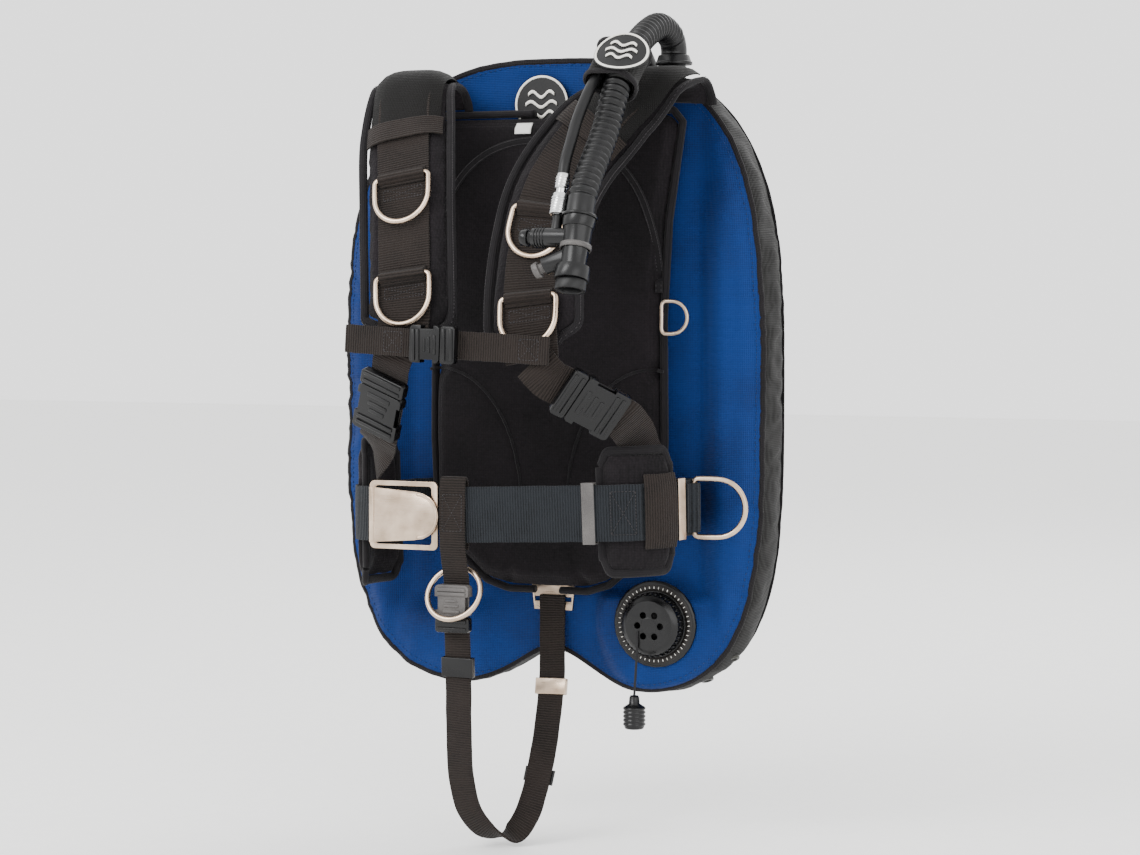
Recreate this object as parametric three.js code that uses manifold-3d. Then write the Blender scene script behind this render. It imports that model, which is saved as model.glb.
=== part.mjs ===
// Buoyancy compensator for scuba diving: a single-tank wing, a backplate with its pad, and a webbing harness.
// Millimetres. +Z is up, -Y is the diver's front and +X is the diver's left. The origin is the centre of the
// flat face that lies against the tank, at the back of the wing's centre panel.
import * as THREE from "three";
import { mergeVertices } from "three/addons/utils/BufferGeometryUtils.js";
import Module from "manifold-3d";

const wasm = await Module();
wasm.setup();

// ---------------------------------------------------------------- driving dimensions
const GAP = 0.3; // between pieces that touch
const WING_CENTRE_Z = -30; // middle of the wing's ring
const WING_HALF_WIDTH = 211;
const WING_TOP = 291; // above the wing's middle
const WING_BOTTOM = 300; // below it, at the lobes
const NOTCH_DEPTH = 43; // between the two lower lobes
const NOTCH_WIDTH = 60;
const HOLE_HALF_WIDTH = 58; // inner edge of the ring
const HOLE_TOP = 195;
const HOLE_BOTTOM = 165;
const SHELL = 1.6; // fabric shell of the wing
const CENTRE_PANEL = 4;
const PLATE = 3; // backplate
const PLATE_HALF_WIDTH = 76;
const PLATE_TOP = 186;
const PLATE_BOTTOM = -250;
const PAD = 22; // back pad
const PAD_HALF_WIDTH = 134; // at its widest, by the shoulders
const PAD_TOP = 212;
const PAD_BOTTOM = -232;
const SHOULDER_PAD = 12;
const HIP_PAD = 12;
const WEB = 2.4; // thickness of all webbing
const WIDE_WEB = 50;
const MEDIUM_WEB = 38;
const NARROW_WEB = 25;
const RING_WIRE = 5;
const RING_WIDTH = 57;
const RING_HEIGHT = 50;
const HOSE_RADIUS = 12.5; // corrugated hose, over its ribs
const LP_HOSE_RADIUS = 5; // low-pressure hose
const VALVE_RADIUS = 40; // dump valve flange

const V = (x, y, z) => new THREE.Vector3(x, y, z);
const UP = V(0, 0, 1);
const LEFTWARD = V(1, 0, 0);

// ---------------------------------------------------------------- materials
const finish = (color, roughness, metalness = 0) =>
  new THREE.MeshStandardMaterial({ color, roughness, metalness });
const blueFabric = finish(0x1b4b86, 0.85);
const blackFabric = finish(0x1c1b1d, 0.9);
const padFabric = finish(0x232124, 0.95);
const webbing = finish(0x2a2725, 0.8);
const beltWebbing = finish(0x343c44, 0.75);
const steel = finish(0xcfc3b4, 0.3, 1);
const chrome = finish(0xd8d8d8, 0.15, 1);
const plastic = finish(0x1e1f20, 0.5);
const greyPlastic = finish(0x8b8a88, 0.45);
const rubber = finish(0x191919, 0.65);
const bladderFilm = finish(0xb9bcb4, 0.5);

// ---------------------------------------------------------------- solids
// Closed surface with shared vertices, as manifold-3d needs it.
function toSolid(geometry) {
  const bare = geometry.clone();
  bare.deleteAttribute("normal");
  bare.deleteAttribute("uv");
  const merged = mergeVertices(bare, 1e-4);
  return new wasm.Manifold(
    new wasm.Mesh({
      numProp: 3,
      vertProperties: merged.attributes.position.array,
      triVerts: new Uint32Array(merged.index.array),
    }),
  );
}

function toGeometry(solid) {
  const mesh = solid.getMesh();
  const geometry = new THREE.BufferGeometry();
  geometry.setAttribute("position", new THREE.BufferAttribute(mesh.vertProperties, 3));
  geometry.setIndex(new THREE.BufferAttribute(mesh.triVerts, 1));
  geometry.computeVertexNormals();
  return geometry;
}

const join = (first, ...rest) =>
  toGeometry(rest.reduce((solid, g) => solid.add(toSolid(g)), toSolid(first)));

const cut = (first, ...tools) =>
  toGeometry(tools.reduce((solid, g) => solid.subtract(toSolid(g)), toSolid(first)));

function box(sizeX, sizeY, sizeZ, x = 0, y = 0, z = 0) {
  return new THREE.BoxGeometry(sizeX, sizeY, sizeZ).translate(x, y, z);
}

// Round bar from one point to another, tapering from one radius to the other.
function rod(start, end, radius, endRadius = radius, sides = 16) {
  const along = end.clone().sub(start);
  const turn = new THREE.Quaternion().setFromUnitVectors(V(0, 1, 0), along.clone().normalize());
  return new THREE.CylinderGeometry(endRadius, radius, along.length(), sides)
    .applyQuaternion(turn)
    .translate(...start.clone().add(end).multiplyScalar(0.5));
}

// Round tube along a list of points.
function tube(points, radius, sides, steps) {
  const section = new THREE.Shape(new THREE.EllipseCurve(0, 0, radius, radius).getPoints(sides).slice(0, sides));
  const extrudePath = new THREE.CatmullRomCurve3(points, false, "centripetal");
  return new THREE.ExtrudeGeometry(section, { steps, extrudePath });
}

// Plate with a rounded rectangular outline, centred on the origin and lying in the XY plane.
function roundedOutline(width, height, radius) {
  const x = width / 2;
  const y = height / 2;
  const shape = new THREE.Shape();
  shape.moveTo(-x + radius, -y);
  shape.lineTo(x - radius, -y);
  shape.absarc(x - radius, -y + radius, radius, -Math.PI / 2, 0, false);
  shape.absarc(x - radius, y - radius, radius, 0, Math.PI / 2, false);
  shape.absarc(-x + radius, y - radius, radius, Math.PI / 2, Math.PI, false);
  shape.absarc(-x + radius, -y + radius, radius, Math.PI, Math.PI * 1.5, false);
  return shape;
}

function slab(shape, thickness) {
  return new THREE.ExtrudeGeometry(shape, { depth: thickness, bevelEnabled: false, curveSegments: 5 }).translate(
    0,
    0,
    -thickness / 2,
  );
}

// Turned solid about the Z axis; each pair is [radius, height], from the axis and back to it.
function turned(profile, sides = 24) {
  const points = profile.map(([radius, height]) => new THREE.Vector2(radius, height));
  return new THREE.LatheGeometry(points, sides).rotateX(Math.PI / 2);
}

// ---------------------------------------------------------------- straps
const route = (...points) => new THREE.CatmullRomCurve3(points.map((p) => V(...p)), false, "centripetal");

// Directions on a strap at u: its width, its run and the normal of its outer face.
function frameAt(curve, u, across) {
  const tangent = curve.getTangentAt(u);
  const wanted = typeof across === "function" ? across(u) : across;
  const side = wanted.clone().addScaledVector(tangent, -wanted.dot(tangent)).normalize();
  const normal = tangent.clone().cross(side);
  return { point: curve.getPointAt(u), tangent, side, normal };
}

// Flat strap: a long box bent along a curve. Width, thickness and lift (its distance from the curve along
// the outer normal) are numbers, or functions of the place v from 0 to 1 on the strap.
function strap(curve, across, { width, thickness = WEB, lift = 0, from = 0, to = 1, steps = 16 }) {
  const at = (size, v) => (typeof size === "function" ? size(v) : size);
  const geometry = new THREE.BoxGeometry(1, 1, 1, 1, 1, steps);
  const position = geometry.attributes.position;
  for (let i = 0; i < position.count; i++) {
    const v = position.getZ(i) + 0.5;
    const f = frameAt(curve, from + (to - from) * v, across);
    f.point.addScaledVector(f.side, position.getX(i) * at(width, v));
    f.point.addScaledVector(f.normal, position.getY(i) * at(thickness, v) + at(lift, v));
    position.setXYZ(i, ...f.point);
  }
  return geometry;
}

// Group whose +X runs across a strap, +Y up it against its run and +Z out of its face.
function onStrap(curve, across, u, lift) {
  const f = frameAt(curve, u, across);
  const group = new THREE.Group();
  group.position.copy(f.point).addScaledVector(f.normal, lift);
  group.quaternion.setFromRotationMatrix(new THREE.Matrix4().makeBasis(f.side, f.tangent.clone().negate(), f.normal));
  return group;
}

const wingGroup = new THREE.Group();
const harness = new THREE.Group();
const inflator = new THREE.Group();
const vest = new THREE.Group();
vest.add(wingGroup, harness, inflator);

function piece(parent, name, geometry, material) {
  const mesh = new THREE.Mesh(geometry, material);
  mesh.name = name;
  parent.add(mesh);
  return mesh;
}

// ---------------------------------------------------------------- wing
// Radius of a rounded outline in a direction, with its own half height above and below.
function outlineRadius(angle, halfWidth, top, bottom, topPower, bottomPower) {
  const c = Math.abs(Math.cos(angle));
  const s = Math.sin(angle);
  const power = s > 0 ? topPower : bottomPower;
  const height = s > 0 ? top : bottom;
  return Math.pow(Math.pow(c / halfWidth, power) + Math.pow(Math.abs(s) / height, power), -1 / power);
}

function outerRadius(angle) {
  const r = outlineRadius(angle, WING_HALF_WIDTH, WING_TOP, WING_BOTTOM, 3, 4);
  const x = r * Math.cos(angle);
  const lower = Math.max(0, -Math.sin(angle));
  return r - lower * NOTCH_DEPTH * Math.exp(-((x / NOTCH_WIDTH) ** 2));
}

const innerRadius = (angle) => outlineRadius(angle, HOLE_HALF_WIDTH, HOLE_TOP, HOLE_BOTTOM, 3, 3);

const WING_STEPS = 36;
const HOLE_FRONT = -3.9; // front face of the wing at its inner edge
const SIDE_BULGE = 18.5; // of the front face, beside the pad
const LOWER_BULGE = 12.5; // of the front face, below the pad
const BACK_BULGE = 72; // of the back face, beside the tank
const VALVE_SEAT = -17; // flat ground of the dump valve
const valveCentre = V(106, 0, -257);
const step = THREE.MathUtils.smoothstep;
const EDGE = 0.97; // place where the front and back panels meet the edge band

function frontY(place, x, z) {
  const round = 1 - 0.5 * step(place, 0.86, 1);
  const beside = SIDE_BULGE * step(Math.abs(x), PAD_HALF_WIDTH + 7, PAD_HALF_WIDTH + 40) * (1 - 0.72 * step(z, 90, 210));
  const below = LOWER_BULGE * step(-z, 236, 262) * step(Math.abs(x), 38, 88);
  const y = HOLE_FRONT - Math.max(beside, below) * round;
  const around = 1 - step(Math.hypot(x - valveCentre.x, z - valveCentre.z), VALVE_RADIUS + 10, VALVE_RADIUS + 28);
  const belowPad = step(-z, 226, 238);
  return y + (VALVE_SEAT - y) * around * belowPad * (place < EDGE ? 1 : 0);
}

function backY(place, ringWidth) {
  const depth = BACK_BULGE * (0.25 + 0.75 * Math.min(1, ringWidth / 150));
  if (place < 0.52) return depth * (1 - Math.pow((0.52 - place) / 0.52, 2.2));
  return depth * (1 - 0.45 * ((place - 0.52) / 0.48) ** 2);
}

// Closed ring between the wing's inner outline (place 0) and its outer one (place 1). Each entry of the
// profile is [place, face, inset]: the face is "front" or "back", and the inset goes into the wing.
function wingRing(profile) {
  const points = profile.map(([place], i) => new THREE.Vector2(1 + place, i));
  points.push(points[0].clone());
  const geometry = new THREE.LatheGeometry(points, WING_STEPS);
  const position = geometry.attributes.position;
  for (let i = 0; i < position.count; i++) {
    const [place, face, inset] = profile[Math.round(position.getY(i))];
    const angle = Math.atan2(position.getZ(i), position.getX(i));
    const inner = innerRadius(angle);
    const outer = outerRadius(angle);
    const radius = inner + (outer - inner) * place;
    const x = radius * Math.cos(angle);
    const z = WING_CENTRE_Z + radius * Math.sin(angle);
    const y = face === "front" ? frontY(place, x, z) + inset : backY(place, outer - inner) - inset;
    position.setXYZ(i, x, y, z);
  }
  return geometry;
}

// Thin shell between two insets of one face, from the hole's edge to the edge band.
function wingShell(face, places, outside, inside) {
  const outer = places.map((place) => [place, face, outside]);
  const inner = places.map((place) => [place, face, inside]).reverse();
  const loop = [...outer, ...inner];
  return wingRing(face === "front" ? loop : loop.reverse());
}

const SEAM = 0.004; // place of the seam round the hole
const frontPlaces = [SEAM, 0.14, 0.3, 0.45, 0.56, 0.63, 0.7, 0.78, 0.87, 0.93, EDGE];
const backPlaces = [SEAM, 0.1, 0.28, 0.52, 0.78, 0.9, EDGE];

const elbowCentre = V(111, 14, 0);
const ELBOW_NECK = 11;
// Height of the wing's top edge at x.
const topEdge = (x) => WING_CENTRE_Z + WING_TOP * Math.cbrt(1 - (x / WING_HALF_WIDTH) ** 3);
const elbowSeat = topEdge(elbowCentre.x);
const alongY = (x, z, y0, y1, radius) => rod(V(x, y0, z), V(x, y1, z), radius);
const overElbow = (height) => V(elbowCentre.x, elbowCentre.y, elbowSeat + height);
const portTool = (radius) => rod(overElbow(-56), overElbow(54), radius);

const valvePort = (radius) => alongY(valveCentre.x, valveCentre.z, -60, 12, radius);
const VALVE_NECK = 20;

const frontShell = wingShell("front", frontPlaces, 0, SHELL);
const valveGround = alongY(valveCentre.x, valveCentre.z, -60, VALVE_SEAT, VALVE_RADIUS + 1);
piece(wingGroup, "wing_front_panel", cut(frontShell, valvePort(VALVE_NECK + 4 * GAP), valveGround), blueFabric);
piece(wingGroup, "wing_back_panel", wingShell("back", backPlaces, 0, SHELL), blackFabric);

const band = wingRing([
  [EDGE + 0.004, "front", 0],
  [1, "front", 2],
  [1, "back", 2],
  [EDGE + 0.004, "back", 0],
]);
piece(wingGroup, "wing_edge_band", cut(band, portTool(ELBOW_NECK + GAP)), blackFabric);

// Airtight bag inside the shell, open at the two ports.
const BLADDER_GAP = 8;
const BLADDER_WALL = 1;
function bladderSkin(inset) {
  const edge = inset * 0.008;
  const front = [0.14 + edge, 0.45, 0.63, 0.78, 0.93 - edge];
  const back = [0.9 - edge, 0.52, 0.28, 0.12 + edge];
  return wingRing([
    ...front.map((place) => [place, "front", SHELL + inset]),
    ...back.map((place) => [place, "back", SHELL + inset + 0.6]),
  ]);
}
const bladder = cut(
  bladderSkin(BLADDER_GAP),
  bladderSkin(BLADDER_GAP + BLADDER_WALL),
  portTool(ELBOW_NECK + GAP),
  valvePort(VALVE_NECK + 4 * GAP),
);
piece(wingGroup, "wing_bladder", bladder, bladderFilm);

// Flat panel that closes the ring's hole.
function centreOutline() {
  const points = [];
  for (let i = 0; i < WING_STEPS; i++) {
    const angle = (i / WING_STEPS) * Math.PI * 2;
    const r = innerRadius(angle) - GAP;
    points.push(new THREE.Vector2(r * Math.cos(angle), r * Math.sin(angle)));
  }
  return new THREE.Shape(points);
}
const SCREW_SPACING = 280;
const screwHeights = { upper: SCREW_SPACING / 2 - 10, lower: -SCREW_SPACING / 2 - 10 };
const SCREW_RADIUS = 4;
const SCREW_HEAD = 9;
const plateFront = -CENTRE_PANEL - GAP - PLATE;

const standing = (geometry, y) => geometry.rotateX(Math.PI / 2).translate(0, y, 0);
const centrePanel = standing(slab(centreOutline(), CENTRE_PANEL), -CENTRE_PANEL / 2).translate(0, 0, WING_CENTRE_Z);
const screwTools = Object.values(screwHeights).flatMap((z) => [
  alongY(0, z, -60, 10, SCREW_RADIUS + GAP),
  alongY(0, z, -2, 10, SCREW_HEAD + GAP),
]);
piece(wingGroup, "wing_centre_panel", cut(centrePanel, ...screwTools), blackFabric);

// ---------------------------------------------------------------- backplate and back pad
function mirroredOutline(half) {
  const points = half.map(([x, z]) => new THREE.Vector2(x, z));
  const mirrored = half.map(([x, z]) => new THREE.Vector2(-x, z)).reverse();
  return new THREE.Shape([...points, ...mirrored]);
}

const SLOT = 4.5;
const slot = (width, x, z) => box(width, 20, SLOT, x, plateFront, z);
const sideSlot = (x, z) => box(SLOT, 20, WIDE_WEB + 4, x, plateFront, z);
const plateOutline = mirroredOutline([
  [19, PLATE_BOTTOM],
  [22, PLATE_BOTTOM + 28],
  [PLATE_HALF_WIDTH - 16, PLATE_BOTTOM + 38],
  [PLATE_HALF_WIDTH, PLATE_BOTTOM + 60],
  [PLATE_HALF_WIDTH, -60],
  [PLATE_HALF_WIDTH - 10, 60],
  [PLATE_HALF_WIDTH - 2, PLATE_TOP - 14],
  [PLATE_HALF_WIDTH - 16, PLATE_TOP],
]);
const BELT_Z = -152;
piece(
  harness,
  "backplate",
  cut(
    standing(slab(plateOutline, PLATE), plateFront + PLATE / 2),
    slot(WIDE_WEB + 3, -36, PLATE_TOP - 26),
    slot(WIDE_WEB + 3, 36, PLATE_TOP - 26),
    slot(NARROW_WEB + 12, 0, PLATE_BOTTOM + 10),
    sideSlot(-66, BELT_Z),
    sideSlot(66, BELT_Z),
    ...screwTools,
  ),
  steel,
);

const PAD_STANDOFF = 0.9;
const padBack = plateFront - PAD_STANDOFF;
const padFront = padBack - PAD;
const padOutline = mirroredOutline([
  [40, PAD_BOTTOM],
  [62, PAD_BOTTOM + 7],
  [90, PAD_BOTTOM + 31],
  [114, PAD_BOTTOM + 76],
  [117, -90],
  [116, 20],
  [121, 110],
  [PAD_HALF_WIDTH, PAD_TOP - 12],
  [PAD_HALF_WIDTH - 10, PAD_TOP],
]);
const screwPocket = (z) => alongY(0, z, padBack - 7, 10, SCREW_HEAD + 2);
piece(
  harness,
  "back_pad",
  cut(
    standing(slab(padOutline, PAD), padFront + PAD / 2),
    screwPocket(screwHeights.upper),
    screwPocket(screwHeights.lower),
  ),
  padFabric,
);

// Two-part screws: a flat head in the centre panel, and a barrel nut that holds the plate to it.
for (const [place, z] of Object.entries(screwHeights)) {
  const head = alongY(0, z, -0.3, -1.7, SCREW_HEAD);
  const barrel = alongY(0, z, -1, plateFront - 5, SCREW_RADIUS);
  const flange = alongY(0, z, plateFront - GAP, plateFront - GAP - 2, SCREW_HEAD);
  piece(harness, `${place}_wing_screw`, join(head, barrel, flange), steel);
}

// ---------------------------------------------------------------- rings
// D ring: bar along X through the origin, bow below it.
function dRing(width, height, wire) {
  const half = width / 2 - wire / 2;
  const bend = height - wire - half;
  const points = [V(-half, 0, 0)];
  for (let i = 0; i <= 8; i++) {
    const angle = Math.PI + (i / 8) * Math.PI;
    points.push(V(half * Math.cos(angle), -bend + half * Math.sin(angle), 0));
  }
  points.push(V(half, 0, 0));
  const bow = tube(points, wire / 2, 8, 16);
  return join(bow, rod(V(-half - wire / 2, 0, 0), V(half + wire / 2, 0, 0), wire / 2, wire / 2, 8));
}

// ---------------------------------------------------------------- shoulder straps
// Each pad runs from the top of the back pad over the shoulder and down the chest.
const shoulders = {
  left: route(
    [120, -19, PAD_TOP + 1],
    [120, -19.5, PAD_TOP + 8],
    [119, -27, PAD_TOP + 19],
    [111, -48, 230],
    [88, -70, 206],
    [59, -87, 172],
    [40, -102, 135],
    [34, -116, 95],
    [34, -131, 52],
    [39, -144, 12],
    [44, -151, -16],
  ),
  right: route(
    [-120, -19, PAD_TOP + 1],
    [-120, -19.5, PAD_TOP + 8],
    [-120.5, -29, PAD_TOP + 21],
    [-120, -54, 233],
    [-112, -84, 190],
    [-101, -108, 145],
    [-93, -124, 100],
    [-86, -137, 56],
    [-82, -146, 20],
    [-86, -151, -8],
  ),
};
const STATIONS = 57; // along a shoulder strap, shared by the pad and the webbing on it
const PAD_END = 54 / STATIONS;
const WEB_START = 8 / STATIONS;
const WEB_STANDOFF = 0.7;
const crestSlack = (v) => 3.2 * Math.exp(-(((v - 0.1) / 0.16) ** 2)); // where the strap turns over the shoulder
const shoulderWebLift = SHOULDER_PAD / 2 + WEB_STANDOFF + WEB / 2;
const upperRingPlace = { left: 0.585, right: 0.49 };
const lowerRingPlace = { left: 0.83, right: 0.785 };
const ringLift = shoulderWebLift + WEB / 2 + GAP + RING_WIRE / 2;
const ARCH_HALF = 0.022; // half length of a webbing arch over a ring's bar, as a share of the strap

// The pad is narrower where it rounds the shoulder and at its rounded lower end.
const padWidth = (v) => 84 - 12 * Math.exp(-(((v - 0.12) / 0.14) ** 2)) - 40 * Math.exp(-(((v - 1) / 0.025) ** 2));

// Short webbing arch, sewn at both ends to the strap at baseLift, with a ring's bar under it.
function archOverBar(curve, across, place, half, baseLift) {
  const sewn = baseLift + WEB * 0.8;
  const high = baseLift + WEB + RING_WIRE + 2 * GAP;
  const lift = (v) => sewn + (high - sewn) * Math.min(1, Math.min(v, 1 - v) * 5);
  return strap(curve, across, { width: WIDE_WEB - 6, from: place - half, to: place + half, lift, steps: 10 });
}

for (const [side, curve] of Object.entries(shoulders)) {
  const pad = strap(curve, LEFTWARD, { width: padWidth, thickness: SHOULDER_PAD, to: PAD_END, steps: 54 });
  piece(harness, `${side}_shoulder_pad`, pad, padFabric);
  const webLift = (v) => shoulderWebLift + crestSlack(v);
  const web = strap(curve, LEFTWARD, { width: WIDE_WEB, lift: webLift, from: WEB_START, steps: 49 });
  const arches = [upperRingPlace[side], lowerRingPlace[side]].map((place) =>
    archOverBar(curve, LEFTWARD, place, ARCH_HALF, shoulderWebLift),
  );
  piece(harness, `${side}_shoulder_webbing`, join(web, ...arches), webbing);
  for (const [level, places] of [
    ["upper", upperRingPlace],
    ["lower", lowerRingPlace],
  ]) {
    const seat = onStrap(curve, LEFTWARD, places[side], ringLift);
    piece(seat, `${side}_${level}_ring`, dRing(RING_WIDTH, RING_HEIGHT, RING_WIRE), steel);
    harness.add(seat);
  }
}

// ---------------------------------------------------------------- release buckles
// Side-release buckle in its own frame: webbing width along X, clip on the +Y side, outer face +Z.
const BUCKLE = 10;
const BUCKLE_WALL = 2.2;
function releaseBuckle(web) {
  const width = web + 8;
  const length = web * 1.15;
  const socketBody = slab(roundedOutline(width, length, 4), BUCKLE).translate(0, -length / 2, 0);
  const hollow = box(width - 2 * BUCKLE_WALL, length, BUCKLE - 2 * BUCKLE_WALL, 0, -length / 2 + 9, 0);
  const windowTools = [-1, 1].map((s) => box(7, length * 0.42, BUCKLE + 1, (s * (width + 1)) / 2, -length * 0.42, 0));
  const socket = cut(socketBody, hollow, ...windowTools);
  const fitted = BUCKLE - 2 * BUCKLE_WALL - 2 * GAP;
  const reach = length * 0.62;
  const base = slab(roundedOutline(width, 14, 3), BUCKLE - 1).translate(0, 7 + GAP, 0);
  const tongue = box(web * 0.3, reach, fitted, 0, 1 - reach / 2, 0);
  const prongs = [-1, 1].map((s) => box(3.4, reach, fitted, s * (web / 2 - 3.6), 1 - reach / 2, 0));
  return { socket, clip: join(base, tongue, ...prongs) };
}

const buckleLift = WEB / 2 + 2 * GAP + BUCKLE / 2;

function placeBuckle(seat, name, web) {
  const { socket, clip } = releaseBuckle(web);
  piece(seat, `${name}_socket`, socket, plastic);
  piece(seat, `${name}_clip`, clip, plastic);
  harness.add(seat);
}

// ---------------------------------------------------------------- side straps
// Each lies on the foot of a shoulder webbing and goes down to the hip pad, with a release buckle half way.
const FOOT_LIFT = shoulderWebLift + WEB + GAP; // of a strap lying on the shoulder webbing
const sideRoutes = {
  left: route(
    [47, -151.7 - FOOT_LIFT, -14.5],
    [53, -152.8 - FOOT_LIFT, -20.5],
    [60.2, -157.4, -29.9],
    [70, -149, -36.5],
    [84, -137, -46],
    [105, -119, -60.3],
    [111, -113, -65],
    [114, -92, -79],
    [116, -64, -104],
  ),
  right: route(
    [-85.5, -149.3 - FOOT_LIFT, 4],
    [-87, -151 - FOOT_LIFT, -6],
    [-91, -150.9 - FOOT_LIFT, -16],
    [-96.5, -154.5, -30],
    [-101.6, -149.4, -43.2],
    [-114.5, -136.5, -76.3],
    [-117.5, -133.5, -84],
    [-128, -117, -95],
    [-140, -95, -112],
  ),
};
// The straps lie flat on the webbing at their roots and turn to lie against the hip pads at their ends.
const turning = (root, middle, end) => (u) =>
  root.clone().lerp(middle, step(u, 0.04, 0.16)).lerp(end, step(u, 0.72, 1));
const sideAcross = {
  left: turning(V(0.768, 0.156, 0.621), V(0.56, -0.1, 0.83), V(0.41, 0.47, 0.77)),
  right: turning(V(0.984, -0.025, -0.138), V(0.9, -0.05, -0.38), V(0.34, -0.46, -0.81)),
};
const bucklePlace = { left: 0.3, right: 0.32 };
for (const [side, curve] of Object.entries(sideRoutes)) {
  const across = sideAcross[side];
  piece(harness, `${side}_side_strap`, strap(curve, across, { width: MEDIUM_WEB, steps: 14 }), webbing);
  placeBuckle(onStrap(curve, across, bucklePlace[side], buckleLift), `${side}_release`, MEDIUM_WEB);
}

// ---------------------------------------------------------------- chest strap
const CHEST_Y = -157.4 - FOOT_LIFT;
const chestRoute = route([-133, CHEST_Y, 5], [-80, CHEST_Y - 2, 2], [10, CHEST_Y - 2, -2], [64, CHEST_Y, -5]);
const chestJoint = { right: 0.5, left: 0.53 };
// Each half is sewn to its side strap through a folded tab, below the lower ring.
const rightChest = join(
  strap(chestRoute, UP, { width: NARROW_WEB, to: chestJoint.right }),
  box(24, 6.4, 14, -87, CHEST_Y + 1.7, 0),
);
const leftChest = join(
  strap(chestRoute, UP, { width: NARROW_WEB, from: chestJoint.left }),
  box(24, 4.4, 9, 44, CHEST_Y + 1.2, -11),
);
piece(harness, "right_chest_strap", rightChest, webbing);
piece(harness, "left_chest_strap", leftChest, webbing);
const chestSeat = onStrap(chestRoute, UP, chestJoint.right, buckleLift);
chestSeat.rotateZ(Math.PI); // the clip is on the left half
placeBuckle(chestSeat, "chest", NARROW_WEB);

// ---------------------------------------------------------------- waist belt
const BELT_ROOT = (HOLE_FRONT + padBack) / 2; // the belt passes between the back pad and the wing
const BELT_FRONT = -116; // where the two halves meet
const beltRoutes = {
  left: route(
    [80, BELT_ROOT, BELT_Z + 2],
    [101, BELT_ROOT - 0.3, BELT_Z + 2.5],
    [121, BELT_ROOT - 0.7, BELT_Z + 3],
    [140, -16, BELT_Z + 4],
    [152, -36, BELT_Z + 6],
    [152, -62, BELT_Z + 6],
    [138, -89, BELT_Z + 5],
    [112, -108, BELT_Z + 4],
    [60, -114, BELT_Z + 2],
    [-40, BELT_FRONT, BELT_Z - 2],
    [-63.8, BELT_FRONT, BELT_Z - 3],
  ),
  right: route(
    [-80, BELT_ROOT, BELT_Z - 2],
    [-101, BELT_ROOT - 0.3, BELT_Z - 2.5],
    [-121, BELT_ROOT - 0.7, BELT_Z - 3],
    [-142, -17, BELT_Z - 4],
    [-160, -38, BELT_Z - 5],
    [-167, -72, BELT_Z - 5],
    [-157, -99, BELT_Z - 5],
    [-131, -113, BELT_Z - 4],
    [-112, BELT_FRONT, BELT_Z - 4],
  ),
};
// The outer face of both halves looks away from the body.
const beltAcross = { left: V(0, 0, -1), right: V(0, 0, 1) };
const TAIL_START = 0.46;
const beltTail = strap(beltRoutes.left, beltAcross.left, {
  width: WIDE_WEB,
  lift: WEB - 0.1,
  from: TAIL_START,
  steps: 14,
});
const leftBelt = strap(beltRoutes.left, beltAcross.left, { width: WIDE_WEB, steps: 40 });
const HIP_RING_PLACE = 0.3;
const hipArch = archOverBar(beltRoutes.left, beltAcross.left, HIP_RING_PLACE, 0.028, 0);
piece(harness, "left_waist_webbing", join(leftBelt, beltTail, hipArch), beltWebbing);
const rightBelt = strap(beltRoutes.right, beltAcross.right, { width: WIDE_WEB, steps: 30 });
piece(harness, "right_waist_webbing", rightBelt, beltWebbing);

const hipPadLift = -(HIP_PAD / 2 + GAP + WEB / 2);
const hipPadHeight = { left: 106, right: 128 };
const cornerCut = (v) => 26 * (Math.exp(-((v / 0.06) ** 2)) + Math.exp(-(((1 - v) / 0.06) ** 2)));
const hipPlaces = { left: [0.365, 0.565], right: [0.4, 0.76] };
for (const [side, [from, to]] of Object.entries(hipPlaces)) {
  const hip = strap(beltRoutes[side], beltAcross[side], {
    width: (v) => hipPadHeight[side] - cornerCut(v),
    thickness: HIP_PAD,
    lift: hipPadLift,
    from,
    to,
    steps: 24,
  });
  piece(harness, `${side}_hip_pad`, hip, padFabric);
}

// ---------------------------------------------------------------- belt fittings
// Cam buckle: a flat frame across the meeting ends of the belt and a lever hinged at the frame's right end.
const BUCKLE_FRAME = 3;
const BUCKLE_LENGTH = 68;
const buckleCentre = V(-99.5, BELT_FRONT - WEB / 2 - GAP - BUCKLE_FRAME / 2, BELT_Z - 4);
const buckleSeat = new THREE.Group();
buckleSeat.position.copy(buckleCentre);
buckleSeat.rotation.x = Math.PI / 2;
harness.add(buckleSeat);
const frameOutline = roundedOutline(BUCKLE_LENGTH, WIDE_WEB + 12, 5);
frameOutline.holes.push(new THREE.Path(roundedOutline(BUCKLE_LENGTH - 12, WIDE_WEB + 3, 3).getPoints(3)));
piece(buckleSeat, "belt_buckle_frame", slab(frameOutline, BUCKLE_FRAME), steel);

const LEVER = 2;
const LEVER_BARREL = 2.8;
const leverHinge = V(-BUCKLE_LENGTH / 2 + 4, 0, BUCKLE_FRAME / 2 + GAP + LEVER_BARREL);
const leverShape = new THREE.Shape();
leverShape.moveTo(0, -WIDE_WEB / 2);
leverShape.lineTo(BUCKLE_LENGTH * 0.62, -WIDE_WEB * 0.44);
leverShape.absarc(BUCKLE_LENGTH * 0.66, 0, WIDE_WEB * 0.43, -Math.PI / 2, Math.PI / 2, false);
leverShape.lineTo(BUCKLE_LENGTH * 0.62, WIDE_WEB * 0.44);
leverShape.lineTo(0, WIDE_WEB / 2);
const leverPlate = slab(leverShape, LEVER).translate(leverHinge.x, 0, leverHinge.z);
const leverBarrel = rod(
  V(leverHinge.x, -WIDE_WEB / 2, leverHinge.z),
  V(leverHinge.x, WIDE_WEB / 2, leverHinge.z),
  LEVER_BARREL,
);
piece(buckleSeat, "belt_buckle_lever", join(leverPlate, leverBarrel), steel);

const KEEPER_PLAY = 0.5;
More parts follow.
